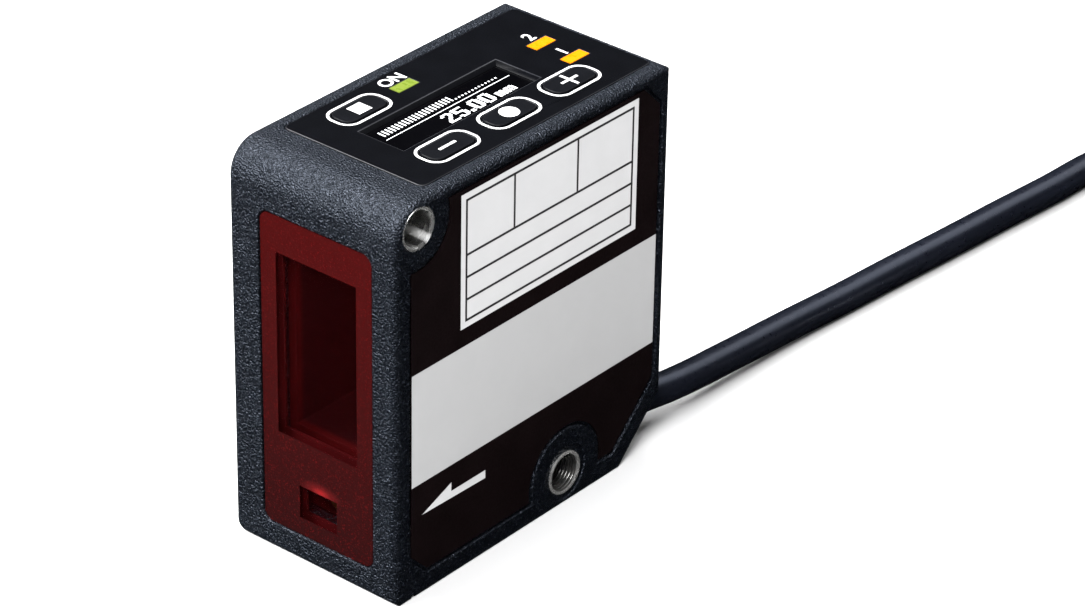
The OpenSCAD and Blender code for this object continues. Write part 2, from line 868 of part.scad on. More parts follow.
// Carrier of the laser and the receiver, screwed to the wall opposite the cover
module optics_frame() {
    x_mid = window_x;
    lens_wall0 = lens_pos[1] - lens_wall / 2;
    lens_wall1 = lens_pos[1] + lens_wall / 2;
    color("#26272b")
        difference() {
            union() {
                block([x_base, optics_y0, optics_floor], [optics_x1, optics_y1, optics_z1]);
                intersection() {
                    block([x_mid - laser_block_w / 2, optics_y0, optics_z0],
                        [x_mid + laser_block_w / 2, optics_y0 + laser_block_l, optics_floor + eps]);
                    side_prism(inset(side_outline, ledge_w + optics_gap), x_wall, x_ledge);
                }
                for (p = ears)
                    hull() {
                        bar_x(p[0], p[1], x_base, x_base + base_t, ear_r, $fn = 32);
                        bar_x(p[0], p[1] > rx_z0 ? optics_z1 - 1 : optics_floor + 1,
                            x_base, x_base + base_t, ear_r, $fn = 32);
                    }
            }
            block([x_mid - rx_w / 2 - chamber_gap, optics_y0 - 1, rx_z0 - chamber_low],
                [x_mid + rx_w / 2 + chamber_gap, lens_wall0, rx_z1 + chamber_top]);
            block([x_mid - rear_w / 2, lens_wall1, rx_z0 + rear_low],
                [x_mid + rear_w / 2, optics_y1 - rear_wall, rx_z1 - chamber_gap]);
            block([x_mid - sensor_w / 2 - sensor_room, optics_y1 - rear_wall - 1, sensor_z - sensor_h / 2 - sensor_room],
                [x_mid + sensor_w / 2 + sensor_room, optics_y1 + 1, sensor_z + sensor_h / 2 + sensor_room]);
            translate(lens_pos)
                rotate([rx_tilt, 0, 0]) {
                    translate([0, -lens_t / 2, 0])
                        rotate([90, 0, 0])
                            translate([0, 0, -lens_t])
                                cylinder(h = lens_t + lens_wall, r = lens_r + seat_gap);
                    rotate([90, 0, 0])
                        cylinder(h = 3 * lens_wall, r = lens_r - lens_stop, center = true);
                }
            bar_y(x_mid, tx_axis, optics_y0 - 1, laser_y1, barrel_r + seat_gap);
            bar_y(x_mid, tx_axis, optics_y0, optics_y0 + laser_block_l + 1, diode_flange_r);
            for (p = ears)
                bar_x(p[0], p[1], x_base - 1, x_base + base_t + 1, screw_shank_r + seat_gap);
            for (x = [optics_x0 + sensor_screw_in, optics_x1 - sensor_screw_in])
                bar_y(x, sensor_z, optics_y1 - 3, optics_y1 + 1, screw_shank_r);
        }
}

// Small screw along +Z, head upwards, with the head's underside at zero
module small_screw(l) {
    difference() {
        union() {
            cylinder(h = screw_head_h, r = screw_head_r);
            translate([0, 0, -l])
                cylinder(h = l + eps, r = screw_shank_r);
        }
        translate([0, 0, screw_head_h - 0.5])
            cylinder(h = 1, r = 0.7, $fn = 6);
    }
}

module optics_screws() {
    color(steel) {
        for (p = ears)
            translate([x_base + base_t, p[0], p[1]])
                rotate([0, 90, 0])
                    small_screw(base_t + pad_h + 0.7);
        for (x = [optics_x0 + sensor_screw_in, optics_x1 - sensor_screw_in])
            translate([x, optics_y1 + board_t, sensor_z])
                rotate([-90, 0, 0])
                    small_screw(board_t + 2.8);
    }
}

module receiving_lens() {
    color("#c8d4e0")
        translate(lens_pos)
            rotate([rx_tilt, 0, 0])
                intersection() {
                    rotate([90, 0, 0])
                        cylinder(h = lens_t, r = lens_r, center = true);
                    translate([0, lens_curve - lens_t / 2, 0])
                        sphere(r = lens_curve, $fn = 64);
                }
}

module image_sensor() {
    color("#3b3440")
        translate([window_x - sensor_w / 2, optics_y1 - sensor_t, sensor_z - sensor_h / 2])
            cube([sensor_w, sensor_t, sensor_h]);
}

module sensor_board() {
    color(board_green)
        difference() {
            block([optics_x0, optics_y1, sensor_z - sensor_h / 2 - 2],
                [optics_x1, optics_y1 + board_t, sensor_z + sensor_h / 2 + 1.5]);
            for (x = [optics_x0 + sensor_screw_in, optics_x1 - sensor_screw_in])
                bar_y(x, sensor_z, optics_y1 - 1, optics_y1 + board_t + 1, screw_shank_r + seat_gap);
        }
}

module laser_barrel() {
    color("#b8924a")
        difference() {
            bar_y(window_x, tx_axis, laser_y0, laser_y1, barrel_r);
            bar_y(window_x, tx_axis, laser_y0 - 1, laser_y1 + 1, barrel_bore_r);
            bar_y(window_x, tx_axis, laser_y0 - 1, laser_y0 + collimator_t + 0.2, collimator_r + seat_gap);
            bar_y(window_x, tx_axis, laser_y1 - diode_flange_t, laser_y1 + 1, diode_flange_r + seat_gap);
        }
}

module collimator_lens() {
    color("#b7c6da")
        bar_y(window_x, tx_axis, laser_y0 + 0.2, laser_y0 + 0.2 + collimator_t, collimator_r);
}

module laser_diode() {
    color(steel) {
        bar_y(window_x, tx_axis, laser_y1 - diode_flange_t, laser_y1, diode_flange_r);
        bar_y(window_x, tx_axis, laser_y1 - diode_flange_t - 2.4, laser_y1 - diode_flange_t + eps, diode_can_r);
        for (a = [90, 210, 330])
            bar_y(window_x + 1.27 * cos(a), tx_axis + 1.27 * sin(a),
                laser_y1 - eps, optics_y0 + laser_block_l, 0.23);
    }
}

module laser_board() {
    y = optics_y0 + laser_block_l;
    color(board_green)
        block([window_x - laser_block_w / 2, y, tx_axis - 3.8],
            [window_x + laser_block_w / 2, y + board_t, tx_axis + 3.8]);
}

// Cones at both ends of a bore across the width
module lead_in(y, z, r, c) {
    for (mx = [0, 1])
        mirror([mx, 0, 0])
            translate([xo - c, y, z])
                rotate([0, 90, 0])
                    cylinder(h = c + eps, r1 = r, r2 = r + c + eps);
}

module mounting_sleeve() {
    color(steel)
        difference() {
            bar_x(sleeve_y, sleeve_z, -xo, xo, sleeve_r);
            bar_x(sleeve_y, sleeve_z, -xo - 1, xo + 1, sleeve_bore_r);
            lead_in(sleeve_y, sleeve_z, sleeve_bore_r, sleeve_lead);
        }
}

module threaded_bush() {
    color(steel)
        difference() {
            bar_x(nut_y, nut_z, -xo, xo, nut_r);
            bar_x(nut_y, nut_z, -xo - 1, xo + 1, nut_bore_r);
            lead_in(nut_y, nut_z, nut_bore_r, nut_lead);
        }
}

module cable_bush() {
    far = 12;
    color("#141416")
        difference() {
            bar_y(cable_x, cable_z, gland_y0, yb + far, gland_r);
            bar_y(cable_x, cable_z, gland_y0 - 1, yb + far + 1, cable_d / 2 + cable_gap);
            translate([cable_x - far, yb - back_chamfer, 0])
                rotate([45, 0, 0])
                    translate([0, -far, -far * 3 - gland_proud])
                        cube([2 * far, 4 * far, 3 * far]);
        }
}

module lead_wires() {
    color("#7a4a2c")
        for (i = [-1.5 : 1 : 1.5])
            translate([cable_x + i * wire_pitch, wire_y, cable_z]) {
                translate([0, wire_bend, wire_bend])
                    rotate([0, 90, 0])
                        rotate([0, 0, -90])
                            rotate_extrude(angle = 90)
                                translate([wire_bend, 0])
                                    circle(r = wire_r, $fn = 16);
                translate([0, 0, wire_bend])
                    cylinder(h = header_z - cable_z - wire_bend, r = wire_r, $fn = 16);
                translate([0, wire_bend, 0])
                    rotate([-90, 0, 0])
                        cylinder(h = route[0][1] - wire_y - wire_bend, r = wire_r, $fn = 16);
            }
}

module wire_header() {
    color("#e4e0d2")
        block([cable_x - 3.4, main_y - 2.6, header_z], [cable_x + 1.6, main_y, header_z + 4]);
}

// Tube swept along a list of points
module tube(points, r, sides) {
    n = len(points);
    rings = [
        for (i = [0 : n - 1])
            let (
                d = unit(points[min(i + 1, n - 1)] - points[max(i - 1, 0)]),
                s = unit(cross(d, [0, 0, 1])),
                u = cross(s, d)
            )
            [for (k = [0 : sides - 1]) points[i] + r * (cos(360 * k / sides) * s + sin(360 * k / sides) * u)]
    ];
    verts = [for (ring = rings) each ring];
    skin = [
        for (i = [0 : n - 2])
            for (k = [0 : sides - 1])
                let (k2 = (k + 1) % sides)
                [i * sides + k, (i + 1) * sides + k, (i + 1) * sides + k2, i * sides + k2]
    ];
    first = [for (k = [0 : sides - 1]) k];
    last = [for (k = [sides - 1 : -1 : 0]) (n - 1) * sides + k];
    polyhedron(verts, concat(skin, [first], [last]), convexity = 4);
}

module cable() {
    color("#17181c")
        tube(route, cable_d / 2, 10);
}

// Turned piece of the plug, from a profile of [radius, distance from the cable]
module turned(profile) {
    translate(plug_pos)
        rotate([90, 0, 0])
            rotate_extrude()
                polygon(profile);
}

module plug_body() {
    color("#1a1b1e")
        difference() {
            turned([
                [0, 0], [cable_d / 2 + 0.9, 0], [grip_r - 0.8, boot_l],
                [grip_r, boot_l + 0.8], [grip_r, boot_l + grip_l - 0.8],
                [grip_r - 0.8, boot_l + grip_l], [0, boot_l + grip_l]
            ]);
            for (a = [15 : 30 : 345])
                translate(plug_pos)
                    rotate([90, a, 0])
                        translate([grip_r + 0.35, 0, boot_l + 3])
                            cylinder(h = grip_l - 6, r = 0.8, $fn = 16);
        }
}

module plug_screw() {
    z0 = boot_l + grip_l + 0.2;
    r0 = carrier_r + screw_gap;
    color("#b9bcc2")
        difference() {
            turned([
                [r0, z0], [knurl_r, z0], [knurl_r, z0 + knurl_l],
                [screw_r, z0 + knurl_l], [screw_r, z0 + knurl_l + thread_l - 0.5],
                [screw_r - 0.5, z0 + knurl_l + thread_l], [r0, z0 + knurl_l + thread_l]
            ]);
            for (a = [0 : 15 : 345])
                translate(plug_pos)
                    rotate([90, a, 0])
                        translate([knurl_r + 0.2, 0, z0 - 1])
                            cylinder(h = knurl_l + 1, r = 0.4, $fn = 16);
        }
}

module plug_carrier() {
    z0 = boot_l + grip_l;
    color("#101114")
        turned([[0, z0], [carrier_r, z0], [carrier_r, z0 + carrier_l], [0, z0 + carrier_l]]);
}

module plug_pins() {
    z0 = boot_l + grip_l + carrier_l;
    color("#cfa64a")
        for (a = [45 : 90 : 315])
            translate(plug_pos)
                rotate([90, a, 0])
                    translate([pin_circle, 0, z0])
                        cylinder(h = pin_l, r = pin_r, $fn = 24);
}

housing();
side_cover();
cover_seal();
cover_screws();
side_label();
front_window();
aperture_mask();
control_panel();
display_module();
key_stop();
key_minus();
key_set();
key_plus();
power_light();
output_lights();
indicator_leds();
key_switches();
control_board();
main_board();
board_chips();
board_header();
optics_frame();
optics_screws();
receiving_lens();
image_sensor();
sensor_board();
laser_barrel();
laser_diode();
collimator_lens();
laser_board();
mounting_sleeve();
threaded_bush();
cable_bush();
lead_wires();
wire_header();
cable();
plug_body();
plug_screw();
plug_carrier();
plug_pins();
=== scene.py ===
import math
import bpy
import bmesh
from mathutils import Matrix, Vector


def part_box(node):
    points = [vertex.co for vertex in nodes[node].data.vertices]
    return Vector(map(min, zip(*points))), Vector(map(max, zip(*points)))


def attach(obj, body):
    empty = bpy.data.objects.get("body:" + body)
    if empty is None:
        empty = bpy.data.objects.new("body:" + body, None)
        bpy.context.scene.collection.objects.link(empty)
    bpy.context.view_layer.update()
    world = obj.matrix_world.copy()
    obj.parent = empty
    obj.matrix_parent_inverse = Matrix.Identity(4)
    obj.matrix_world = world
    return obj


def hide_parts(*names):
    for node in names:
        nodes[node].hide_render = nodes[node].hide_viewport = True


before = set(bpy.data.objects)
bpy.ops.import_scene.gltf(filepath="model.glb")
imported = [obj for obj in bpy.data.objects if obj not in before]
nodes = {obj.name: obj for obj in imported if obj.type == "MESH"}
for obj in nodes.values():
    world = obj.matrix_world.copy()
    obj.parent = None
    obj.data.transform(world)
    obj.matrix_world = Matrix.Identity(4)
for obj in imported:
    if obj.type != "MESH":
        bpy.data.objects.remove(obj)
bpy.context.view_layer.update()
mm = 0.001
print("laser sensor: frame loaded with", len(nodes), "nodes")


# camera, from the photograph's own perspective
shot = {
    "place": (0.28307, -0.32682, 0.27756),
    "right": (0.76549, 0.64325, 0.01521),
    "up": (-0.33527, 0.37858, 0.86270),
    "lens": 146.59, "sensor": 36, "near": 0.01, "far": 20,
}

def setCamera():
    data = bpy.data.cameras.new("photoCamera")
    data.sensor_fit = "HORIZONTAL"
    data.sensor_width = shot["sensor"]
    data.lens = shot["lens"]
    data.clip_start = shot["near"]
    data.clip_end = shot["far"]
    camera = bpy.data.objects.new("photoCamera", data)
    right, up = Vector(shot["right"]), Vector(shot["up"])
    turn = Matrix((right, up, right.cross(up))).transposed()
    camera.matrix_world = Matrix.Translation(shot["place"]) @ turn.to_4x4()
    bpy.context.scene.collection.objects.link(camera)
    bpy.context.scene.camera = camera

setCamera()
print("camera set")


# small helpers for node materials
def newFinish(name, colour, rough, metal=0.0, specular=0.5):
    finish = bpy.data.materials.new(name)
    finish.use_nodes = True
    shader = finish.node_tree.nodes["Principled BSDF"]
    shader.inputs["Base Color"].default_value = (*colour, 1)
    shader.inputs["Roughness"].default_value = rough
    shader.inputs["Metallic"].default_value = metal
    shader.inputs["Specular IOR Level"].default_value = specular
    return finish, finish.node_tree, shader

def objectPlace(tree, scale=(1, 1, 1), turn=(0, 0, 0), move=(0, 0, 0)):
    coords = tree.nodes.new("ShaderNodeTexCoord")
    mapping = tree.nodes.new("ShaderNodeMapping")
    mapping.inputs["Scale"].default_value = scale
    mapping.inputs["Rotation"].default_value = turn
    mapping.inputs["Location"].default_value = move
    tree.links.new(coords.outputs["Object"], mapping.inputs["Vector"])
    return mapping.outputs["Vector"]

def axesOf(tree, place):
    axes = tree.nodes.new("ShaderNodeSeparateXYZ")
    tree.links.new(place, axes.inputs["Vector"])
    return axes.outputs

def mathNode(tree, operation, *values):
    node = tree.nodes.new("ShaderNodeMath")
    node.operation = operation
    for value, socket in zip(values, node.inputs):
        tree.links.new(value, socket)
    return node.outputs[0]

def vectorNode(tree, operation, value):
    node = tree.nodes.new("ShaderNodeVectorMath")
    node.operation = operation
    tree.links.new(value, node.inputs[0])
    return node

def grain(tree, place, scale, detail=3.0, rough=0.55):
    noise = tree.nodes.new("ShaderNodeTexNoise")
    noise.inputs["Scale"].default_value = scale
    noise.inputs["Detail"].default_value = detail
    noise.inputs["Roughness"].default_value = rough
    tree.links.new(place, noise.inputs["Vector"])
    return noise.outputs["Fac"]

def clouds(tree, scale):
    # slow changes over a surface
    return grain(tree, objectPlace(tree), scale, detail=2.0)

def ramp(tree, value, stops):
    node = tree.nodes.new("ShaderNodeValToRGB")
    while len(node.color_ramp.elements) < len(stops):
        node.color_ramp.elements.new(0.5)
    for element, (position, colour) in zip(node.color_ramp.elements, stops):
        element.position = position
        element.color = (*colour, 1)
    tree.links.new(value, node.inputs["Fac"])
    return node.outputs["Color"]

def twoTone(tree, value, dark, light, start=0.3, end=0.7):
    return ramp(tree, value, [(start, dark), (end, light)])

def grey(level):
    return (level, level, level)

def spread(tree, value, low, high, fromLow=0.3, fromHigh=0.7):
    node = tree.nodes.new("ShaderNodeMapRange")
    node.inputs["From Min"].default_value = fromLow
    node.inputs["From Max"].default_value = fromHigh
    node.inputs["To Min"].default_value = low
    node.inputs["To Max"].default_value = high
    tree.links.new(value, node.inputs["Value"])
    return node.outputs["Result"]

def relief(tree, shader, height, strength, depth):
    bump = tree.nodes.new("ShaderNodeBump")
    bump.inputs["Strength"].default_value = strength
    bump.inputs["Distance"].default_value = depth * mm
    tree.links.new(height, bump.inputs["Height"])
    tree.links.new(bump.outputs["Normal"], shader.inputs["Normal"])

def mixed(tree, factor, under, over):
    mix = tree.nodes.new("ShaderNodeMix")
    mix.data_type = "RGBA"
    slots = [socket for socket in mix.inputs if socket.type == "RGBA"]
    tree.links.new(under, slots[0])
    slots[1].default_value = (*over, 1)
    tree.links.new(factor, mix.inputs["Factor"])
    return [socket for socket in mix.outputs if socket.type == "RGBA"][0]


# moulded and printed surfaces: two close tones, fine grain in gloss and relief
plastic = {"broad": 0.07, "toneFrom": 0.35, "toneTo": 0.68, "swing": 0.07, "strength": 0.3, "depth": 0.02}

def mouldedGrain(tree, shader, rough, scale, depth):
    fine = grain(tree, objectPlace(tree), scale)
    gloss = spread(tree, fine, rough - plastic["swing"], rough + plastic["swing"])
    tree.links.new(gloss, shader.inputs["Roughness"])
    relief(tree, shader, fine, plastic["strength"], depth)

def moulded(name, dark, light, rough, scale, specular=0.5, depth=plastic["depth"], gloss=(1, 1, 1)):
    finish, tree, shader = newFinish(name, dark, rough, specular=specular)
    shader.inputs["Specular Tint"].default_value = (*gloss, 1)
    broad = clouds(tree, scale * plastic["broad"])
    tone = twoTone(tree, broad, dark, light, plastic["toneFrom"], plastic["toneTo"])
    tree.links.new(tone, shader.inputs["Base Color"])
    mouldedGrain(tree, shader, rough, scale, depth)
    return finish

mouldedLooks = {
    "labelFilm": dict(
        dark=(0.0048, 0.0020, 0.0024), light=(0.0062, 0.0027, 0.0032), rough=0.55, scale=3200, specular=0.07),
    "greyInk": dict(
        dark=(0.388, 0.388, 0.391), light=(0.396, 0.396, 0.399), rough=0.6, scale=3600, specular=0.08),
    "paleInk": dict(
        dark=(0.515, 0.515, 0.52), light=(0.53, 0.53, 0.535), rough=0.6, scale=3600, specular=0.08),
    "blackInk": dict(
        dark=(0.012, 0.011, 0.012), light=(0.018, 0.016, 0.017), rough=0.5, scale=3600, specular=0.3),
    "whiteInk": dict(
        dark=(0.82, 0.82, 0.83), light=(0.90, 0.90, 0.90), rough=0.45, scale=3600, specular=0.3),
    "panelBlack": dict(
        dark=(0.0014, 0.0016, 0.0026), light=(0.0020, 0.0023, 0.0035), rough=0.42, scale=5200,
        specular=0.07, depth=0.008),
    # much lighter than panelBlack: a painted highlight along the panel's eased edge, besides its real gloss
    "panelRimHighlight": dict(
        dark=(0.018, 0.019, 0.023), light=(0.026, 0.027, 0.032), rough=0.35, scale=5200,
        specular=0.35, depth=0.008),
    "keyBlack": dict(
        dark=(0.0032, 0.0036, 0.0050), light=(0.0044, 0.0048, 0.0066), rough=0.40, scale=4600,
        specular=0.11, depth=0.01),
    "displayGlass": dict(
        dark=(0.0010, 0.0010, 0.0014), light=(0.0018, 0.0018, 0.0024), rough=0.12, scale=700,
        specular=0.22, depth=0.004),
    "maskPrint": dict(
        dark=(0.036, 0.0016, 0.0022), light=(0.048, 0.0022, 0.0030), rough=0.6, scale=4200, specular=0.06),
    "cableJacket": dict(
        dark=(0.0038, 0.0046, 0.0085), light=(0.0052, 0.0062, 0.0110), rough=0.33, scale=1600,
        specular=1.0, depth=0.012, gloss=(0.70, 0.78, 1.0)),
    "sealRubber": dict(dark=(0.022, 0.022, 0.024), light=(0.032, 0.032, 0.034), rough=0.75, scale=3000),
    "plugBlack": dict(dark=(0.012, 0.012, 0.014), light=(0.018, 0.018, 0.02), rough=0.5, scale=2600),
    "wireJacket": dict(dark=(0.16, 0.07, 0.03), light=(0.21, 0.09, 0.04), rough=0.5, scale=2200),
    "headerWhite": dict(dark=(0.66, 0.63, 0.54), light=(0.74, 0.71, 0.62), rough=0.5, scale=2200),
    "chipBlack": dict(dark=(0.012, 0.012, 0.013), light=(0.02, 0.02, 0.021), rough=0.6, scale=3600),
    "sensorChip": dict(dark=(0.035, 0.028, 0.045), light=(0.06, 0.045, 0.075), rough=0.2, scale=2600),
    "ledResin": dict(dark=(0.72, 0.66, 0.40), light=(0.82, 0.76, 0.52), rough=0.35, scale=2600),
}


# machined metal: fine tool marks drawn out along one direction
machined = {"broad": 420, "markDetail": 4.0, "smoother": 0.08, "rougher": 0.12}

def turnedMetal(name, dark, light, rough, scale, stretch, depth=0.01, strength=0.18, metal=0.75):
    finish, tree, shader = newFinish(name, light, rough, metal=metal)
    marks = grain(tree, objectPlace(tree, scale=stretch), scale, machined["markDetail"])
    tree.links.new(twoTone(tree, clouds(tree, machined["broad"]), dark, light), shader.inputs["Base Color"])
    gloss = spread(tree, marks, rough - machined["smoother"], rough + machined["rougher"])
    tree.links.new(gloss, shader.inputs["Roughness"])
    relief(tree, shader, marks, strength, depth)
    return finish

turnedLooks = {
    "bushSteel": dict(
        dark=(0.54, 0.54, 0.53), light=(0.72, 0.71, 0.69), rough=0.26, scale=900, stretch=(9, 1, 1),
        metal=0.78),
    "threadSteel": dict(
        dark=(0.16, 0.158, 0.154), light=(0.26, 0.255, 0.245), rough=0.3, scale=900, stretch=(9, 1, 1),
        metal=0.94),
    "screwSteel": dict(
        dark=(0.42, 0.42, 0.43), light=(0.60, 0.60, 0.60), rough=0.3, scale=1500, stretch=(1, 5, 1)),
    "plugNickel": dict(
        dark=(0.52, 0.51, 0.48), light=(0.70, 0.69, 0.66), rough=0.2, scale=1200, stretch=(1, 7, 1)),
    "contactGold": dict(
        dark=(0.72, 0.46, 0.12), light=(0.86, 0.60, 0.20), rough=0.2, scale=1500, stretch=(1, 6, 1)),
    "barrelBrass": dict(
        dark=(0.50, 0.33, 0.10), light=(0.66, 0.46, 0.17), rough=0.3, scale=1200, stretch=(1, 7, 1)),
    "switchMetal": dict(
        dark=(0.50, 0.50, 0.50), light=(0.64, 0.64, 0.63), rough=0.34, scale=1800, stretch=(3, 1, 1)),
}


# bright sleeve: satin rims, polished bore with a brushed streak along its lower wall
sleeve = {
    "dark": (0.66, 0.66, 0.66), "light": (0.88, 0.88, 0.86), "rough": 0.2,
    "marks": 420, "stretch": (5, 1, 1), "markDepth": 0.12, "markStrength": 0.8,
    "rim": 0.90, "bore": 0.985, "rimFrom": 11.9, "rimTo": 12.15,
    "streak": 0.20, "streakWay": (0, 0.66, -0.75), "streakFrom": 0.958, "streakTo": 1.0,
}

def sleeveFinish():
    finish = turnedMetal(
        "sleeveSteel", sleeve["dark"], sleeve["light"], sleeve["rough"], sleeve["marks"], sleeve["stretch"],
        depth=sleeve["markDepth"], strength=sleeve["markStrength"])
    tree = finish.node_tree
    low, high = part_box("mounting_sleeve")
    axes = axesOf(tree, objectPlace(tree, move=-(low + high) / 2))
    reach = mathNode(tree, "ABSOLUTE", axes["X"])
    rim = spread(tree, reach, sleeve["bore"], sleeve["rim"], sleeve["rimFrom"] * mm, sleeve["rimTo"] * mm)
    across = tree.nodes.new("ShaderNodeCombineXYZ")
    tree.links.new(axes["Y"], across.inputs["Y"])
    tree.links.new(axes["Z"], across.inputs["Z"])
    outward = vectorNode(tree, "NORMALIZE", across.outputs["Vector"])
    towards = vectorNode(tree, "DOT_PRODUCT", outward.outputs["Vector"])
    towards.inputs[1].default_value = sleeve["streakWay"]
    streak = spread(
        tree, towards.outputs["Value"], sleeve["bore"], sleeve["streak"],
        sleeve["streakFrom"], sleeve["streakTo"])
    metal = mathNode(tree, "MINIMUM", rim, streak)
    tree.links.new(metal, tree.nodes["Principled BSDF"].inputs["Metallic"])
    return finish


# sprayed paint of the housing: fine leathery grain with light flecks
paint = {
    "dark": (0.0012, 0.0017, 0.0028), "light": (0.0036, 0.0047, 0.0070), "toneFrom": 0.35, "toneTo": 0.65,
    "fleck": (0.017, 0.021, 0.029), "fleckFrom": 0.58, "fleckTo": 0.72,
    "gloss": (0.72, 0.81, 1.0), "specular": 0.58, "matt": 0.40, "shiny": 0.24,
    "grain": 4400, "fleckScale": 5000, "detail": 1.0, "soft": 0.4, "strength": 1.0, "depth": 0.22,
}

def sprayedPaint():
    finish, tree, shader = newFinish("sprayedPaint", paint["dark"], paint["matt"], specular=paint["specular"])
    shader.inputs["Specular Tint"].default_value = (*paint["gloss"], 1)
    place = objectPlace(tree)
    peel = grain(tree, place, paint["grain"], paint["detail"], paint["soft"])
    flecks = grain(tree, place, paint["fleckScale"], paint["detail"], paint["soft"])
    body = twoTone(tree, peel, paint["dark"], paint["light"], paint["toneFrom"], paint["toneTo"])
    mask = twoTone(tree, flecks, grey(0), grey(1), paint["fleckFrom"], paint["fleckTo"])
    tree.links.new(mixed(tree, mask, body, paint["fleck"]), shader.inputs["Base Color"])
    tree.links.new(spread(tree, flecks, paint["matt"], paint["shiny"]), shader.inputs["Roughness"])
    relief(tree, shader, mathNode(tree, "ADD", peel, flecks), paint["strength"], paint["depth"])
    return finish


# red window: dyed plastic, clear over the apertures
windowTint = {
    "dark": (0.020, 0.0009, 0.0013), "light": (0.026, 0.0012, 0.0017), "broad": 260,
    "haze": 4200, "shiny": 0.14, "matt": 0.28, "strength": 0.05, "depth": 0.01,
    "specular": 0.14, "solid": 0.12,
}

def redWindow():
    finish, tree, shader = newFinish(
        "redWindow", windowTint["dark"], windowTint["matt"], specular=windowTint["specular"])
    shader.inputs["Alpha"].default_value = windowTint["solid"]
    tone = twoTone(tree, clouds(tree, windowTint["broad"]), windowTint["dark"], windowTint["light"])
    tree.links.new(tone, shader.inputs["Base Color"])
    haze = grain(tree, objectPlace(tree), windowTint["haze"])
    tree.links.new(spread(tree, haze, windowTint["shiny"], windowTint["matt"]), shader.inputs["Roughness"])
    relief(tree, shader, haze, windowTint["strength"], windowTint["depth"])
    return finish


# frosted face round the apertures: painted light, brighter and purer red towards the top, fine bright specks,
# a painted glow of laser light over the laser
frost = {
    # low and high are painted light: darker at the bottom, brighter and purer red at the top
    "low": (0.015, 0.0014, 0.0016), "high": (0.035, 0.0003, 0.0004), "from": 4.0, "to": 43.0,
    "speck": (0.080, 0.0024, 0.0026), "speckFrom": 0.58, "speckTo": 0.74,
    "grain": 5600, "detail": 2.0, "crisp": 0.6, "matt": 0.62, "shiny": 0.42, "specular": 0.04,
    "strength": 0.6, "depth": 0.05,
    # painted laser light: a bright red glow in the colour round the laser
    "paintedLaserGlow": (0.42, 0.010, 0.012), "paintedGlowSteps": ((0.0, 0.0), (0.55, 0.10), (1.0, 0.40)),
    "paintedGlowAt": (0.9, -23.1, 10.3), "paintedGlowSize": 1.9, "paintedGlowShape": (0.6, 1.0, 1.45),
}

def frostedRed():
    finish, tree, shader = newFinish("frostedRed", frost["high"], frost["matt"], specular=frost["specular"])
    height = axesOf(tree, objectPlace(tree))["Z"]
    # painted light: the colour runs from the darker low tone up to the brighter high tone
    paintedTopLight = spread(tree, height, 0, 1, frost["from"] * mm, frost["to"] * mm)
    body = twoTone(tree, paintedTopLight, frost["low"], frost["high"], 0.0, 1.0)
    fine = grain(tree, objectPlace(tree), frost["grain"], frost["detail"], frost["crisp"])
    specks = twoTone(tree, fine, grey(0), grey(1), frost["speckFrom"], frost["speckTo"])
    # painted laser light: a red glow mixed into the colour, brightest over the laser
    centre = [-at * stretch * mm for at, stretch in zip(frost["paintedGlowAt"], frost["paintedGlowShape"])]
    away = vectorNode(tree, "LENGTH", objectPlace(tree, scale=frost["paintedGlowShape"], move=centre))
    near = spread(tree, away.outputs["Value"], 1, 0, 0, frost["paintedGlowSize"] * mm)
    paintedLaserGlow = ramp(tree, near, [(step, grey(level)) for step, level in frost["paintedGlowSteps"]])
    speckled = mixed(tree, specks, body, frost["speck"])
    tree.links.new(mixed(tree, paintedLaserGlow, speckled, frost["paintedLaserGlow"]), shader.inputs["Base Color"])
    tree.links.new(spread(tree, fine, frost["matt"], frost["shiny"]), shader.inputs["Roughness"])
    relief(tree, shader, fine, frost["strength"], frost["depth"])
    return finish


# optics frame: black plastic, tinted red near its front by the light through the window
optics = {
    "front": (0.044, 0.0014, 0.0018), "deep": (0.010, 0.0008, 0.0012), "from": -19.3, "to": -18.5,
    "rough": 0.5, "scale": 2400, "specular": 0.1,
}

def opticsFinish():
    finish, tree, shader = newFinish(
        "opticsBlack", optics["deep"], optics["rough"], specular=optics["specular"])
    back = axesOf(tree, objectPlace(tree))["Y"]
    inward = spread(tree, back, 0, 1, optics["from"] * mm, optics["to"] * mm)
    tone = twoTone(tree, inward, optics["front"], optics["deep"], 0.0, 1.0)
    tree.links.new(tone, shader.inputs["Base Color"])
    mouldedGrain(tree, shader, optics["rough"], optics["scale"], plastic["depth"])
    return finish


# ground lenses
lens = {
    "tint": (0.80, 0.84, 0.92), "polish": 900, "shiny": 0.01, "dull": 0.07,
    "clear": 0.9, "index": 1.6, "coat": 0.4,
}

def lensGlass():
    finish, tree, shader = newFinish("lensGlass", lens["tint"], lens["dull"])
    shader.inputs["Transmission Weight"].default_value = lens["clear"]
    shader.inputs["IOR"].default_value = lens["index"]
    shader.inputs["Coat Weight"].default_value = lens["coat"]
    polish = clouds(tree, lens["polish"])
    tree.links.new(spread(tree, polish, lens["shiny"], lens["dull"]), shader.inputs["Roughness"])
    return finish


# lit resin: cloudy, and shining in its own colour
resin = {"cloud": 1100, "shiny": 0.22, "matt": 0.38, "specular": 0.2}
litLooks = {
    "litDots": dict(dark=(0.78, 0.80, 0.82), light=(0.92, 0.94, 0.96), strength=0.55),
    "greenLight": dict(dark=(0.128, 0.187, 0.024), light=(0.165, 0.215, 0.031), strength=0.25),
    "yellowLight": dict(dark=(0.72, 0.205, 0.0015), light=(0.78, 0.235, 0.0025), strength=0.27),
}

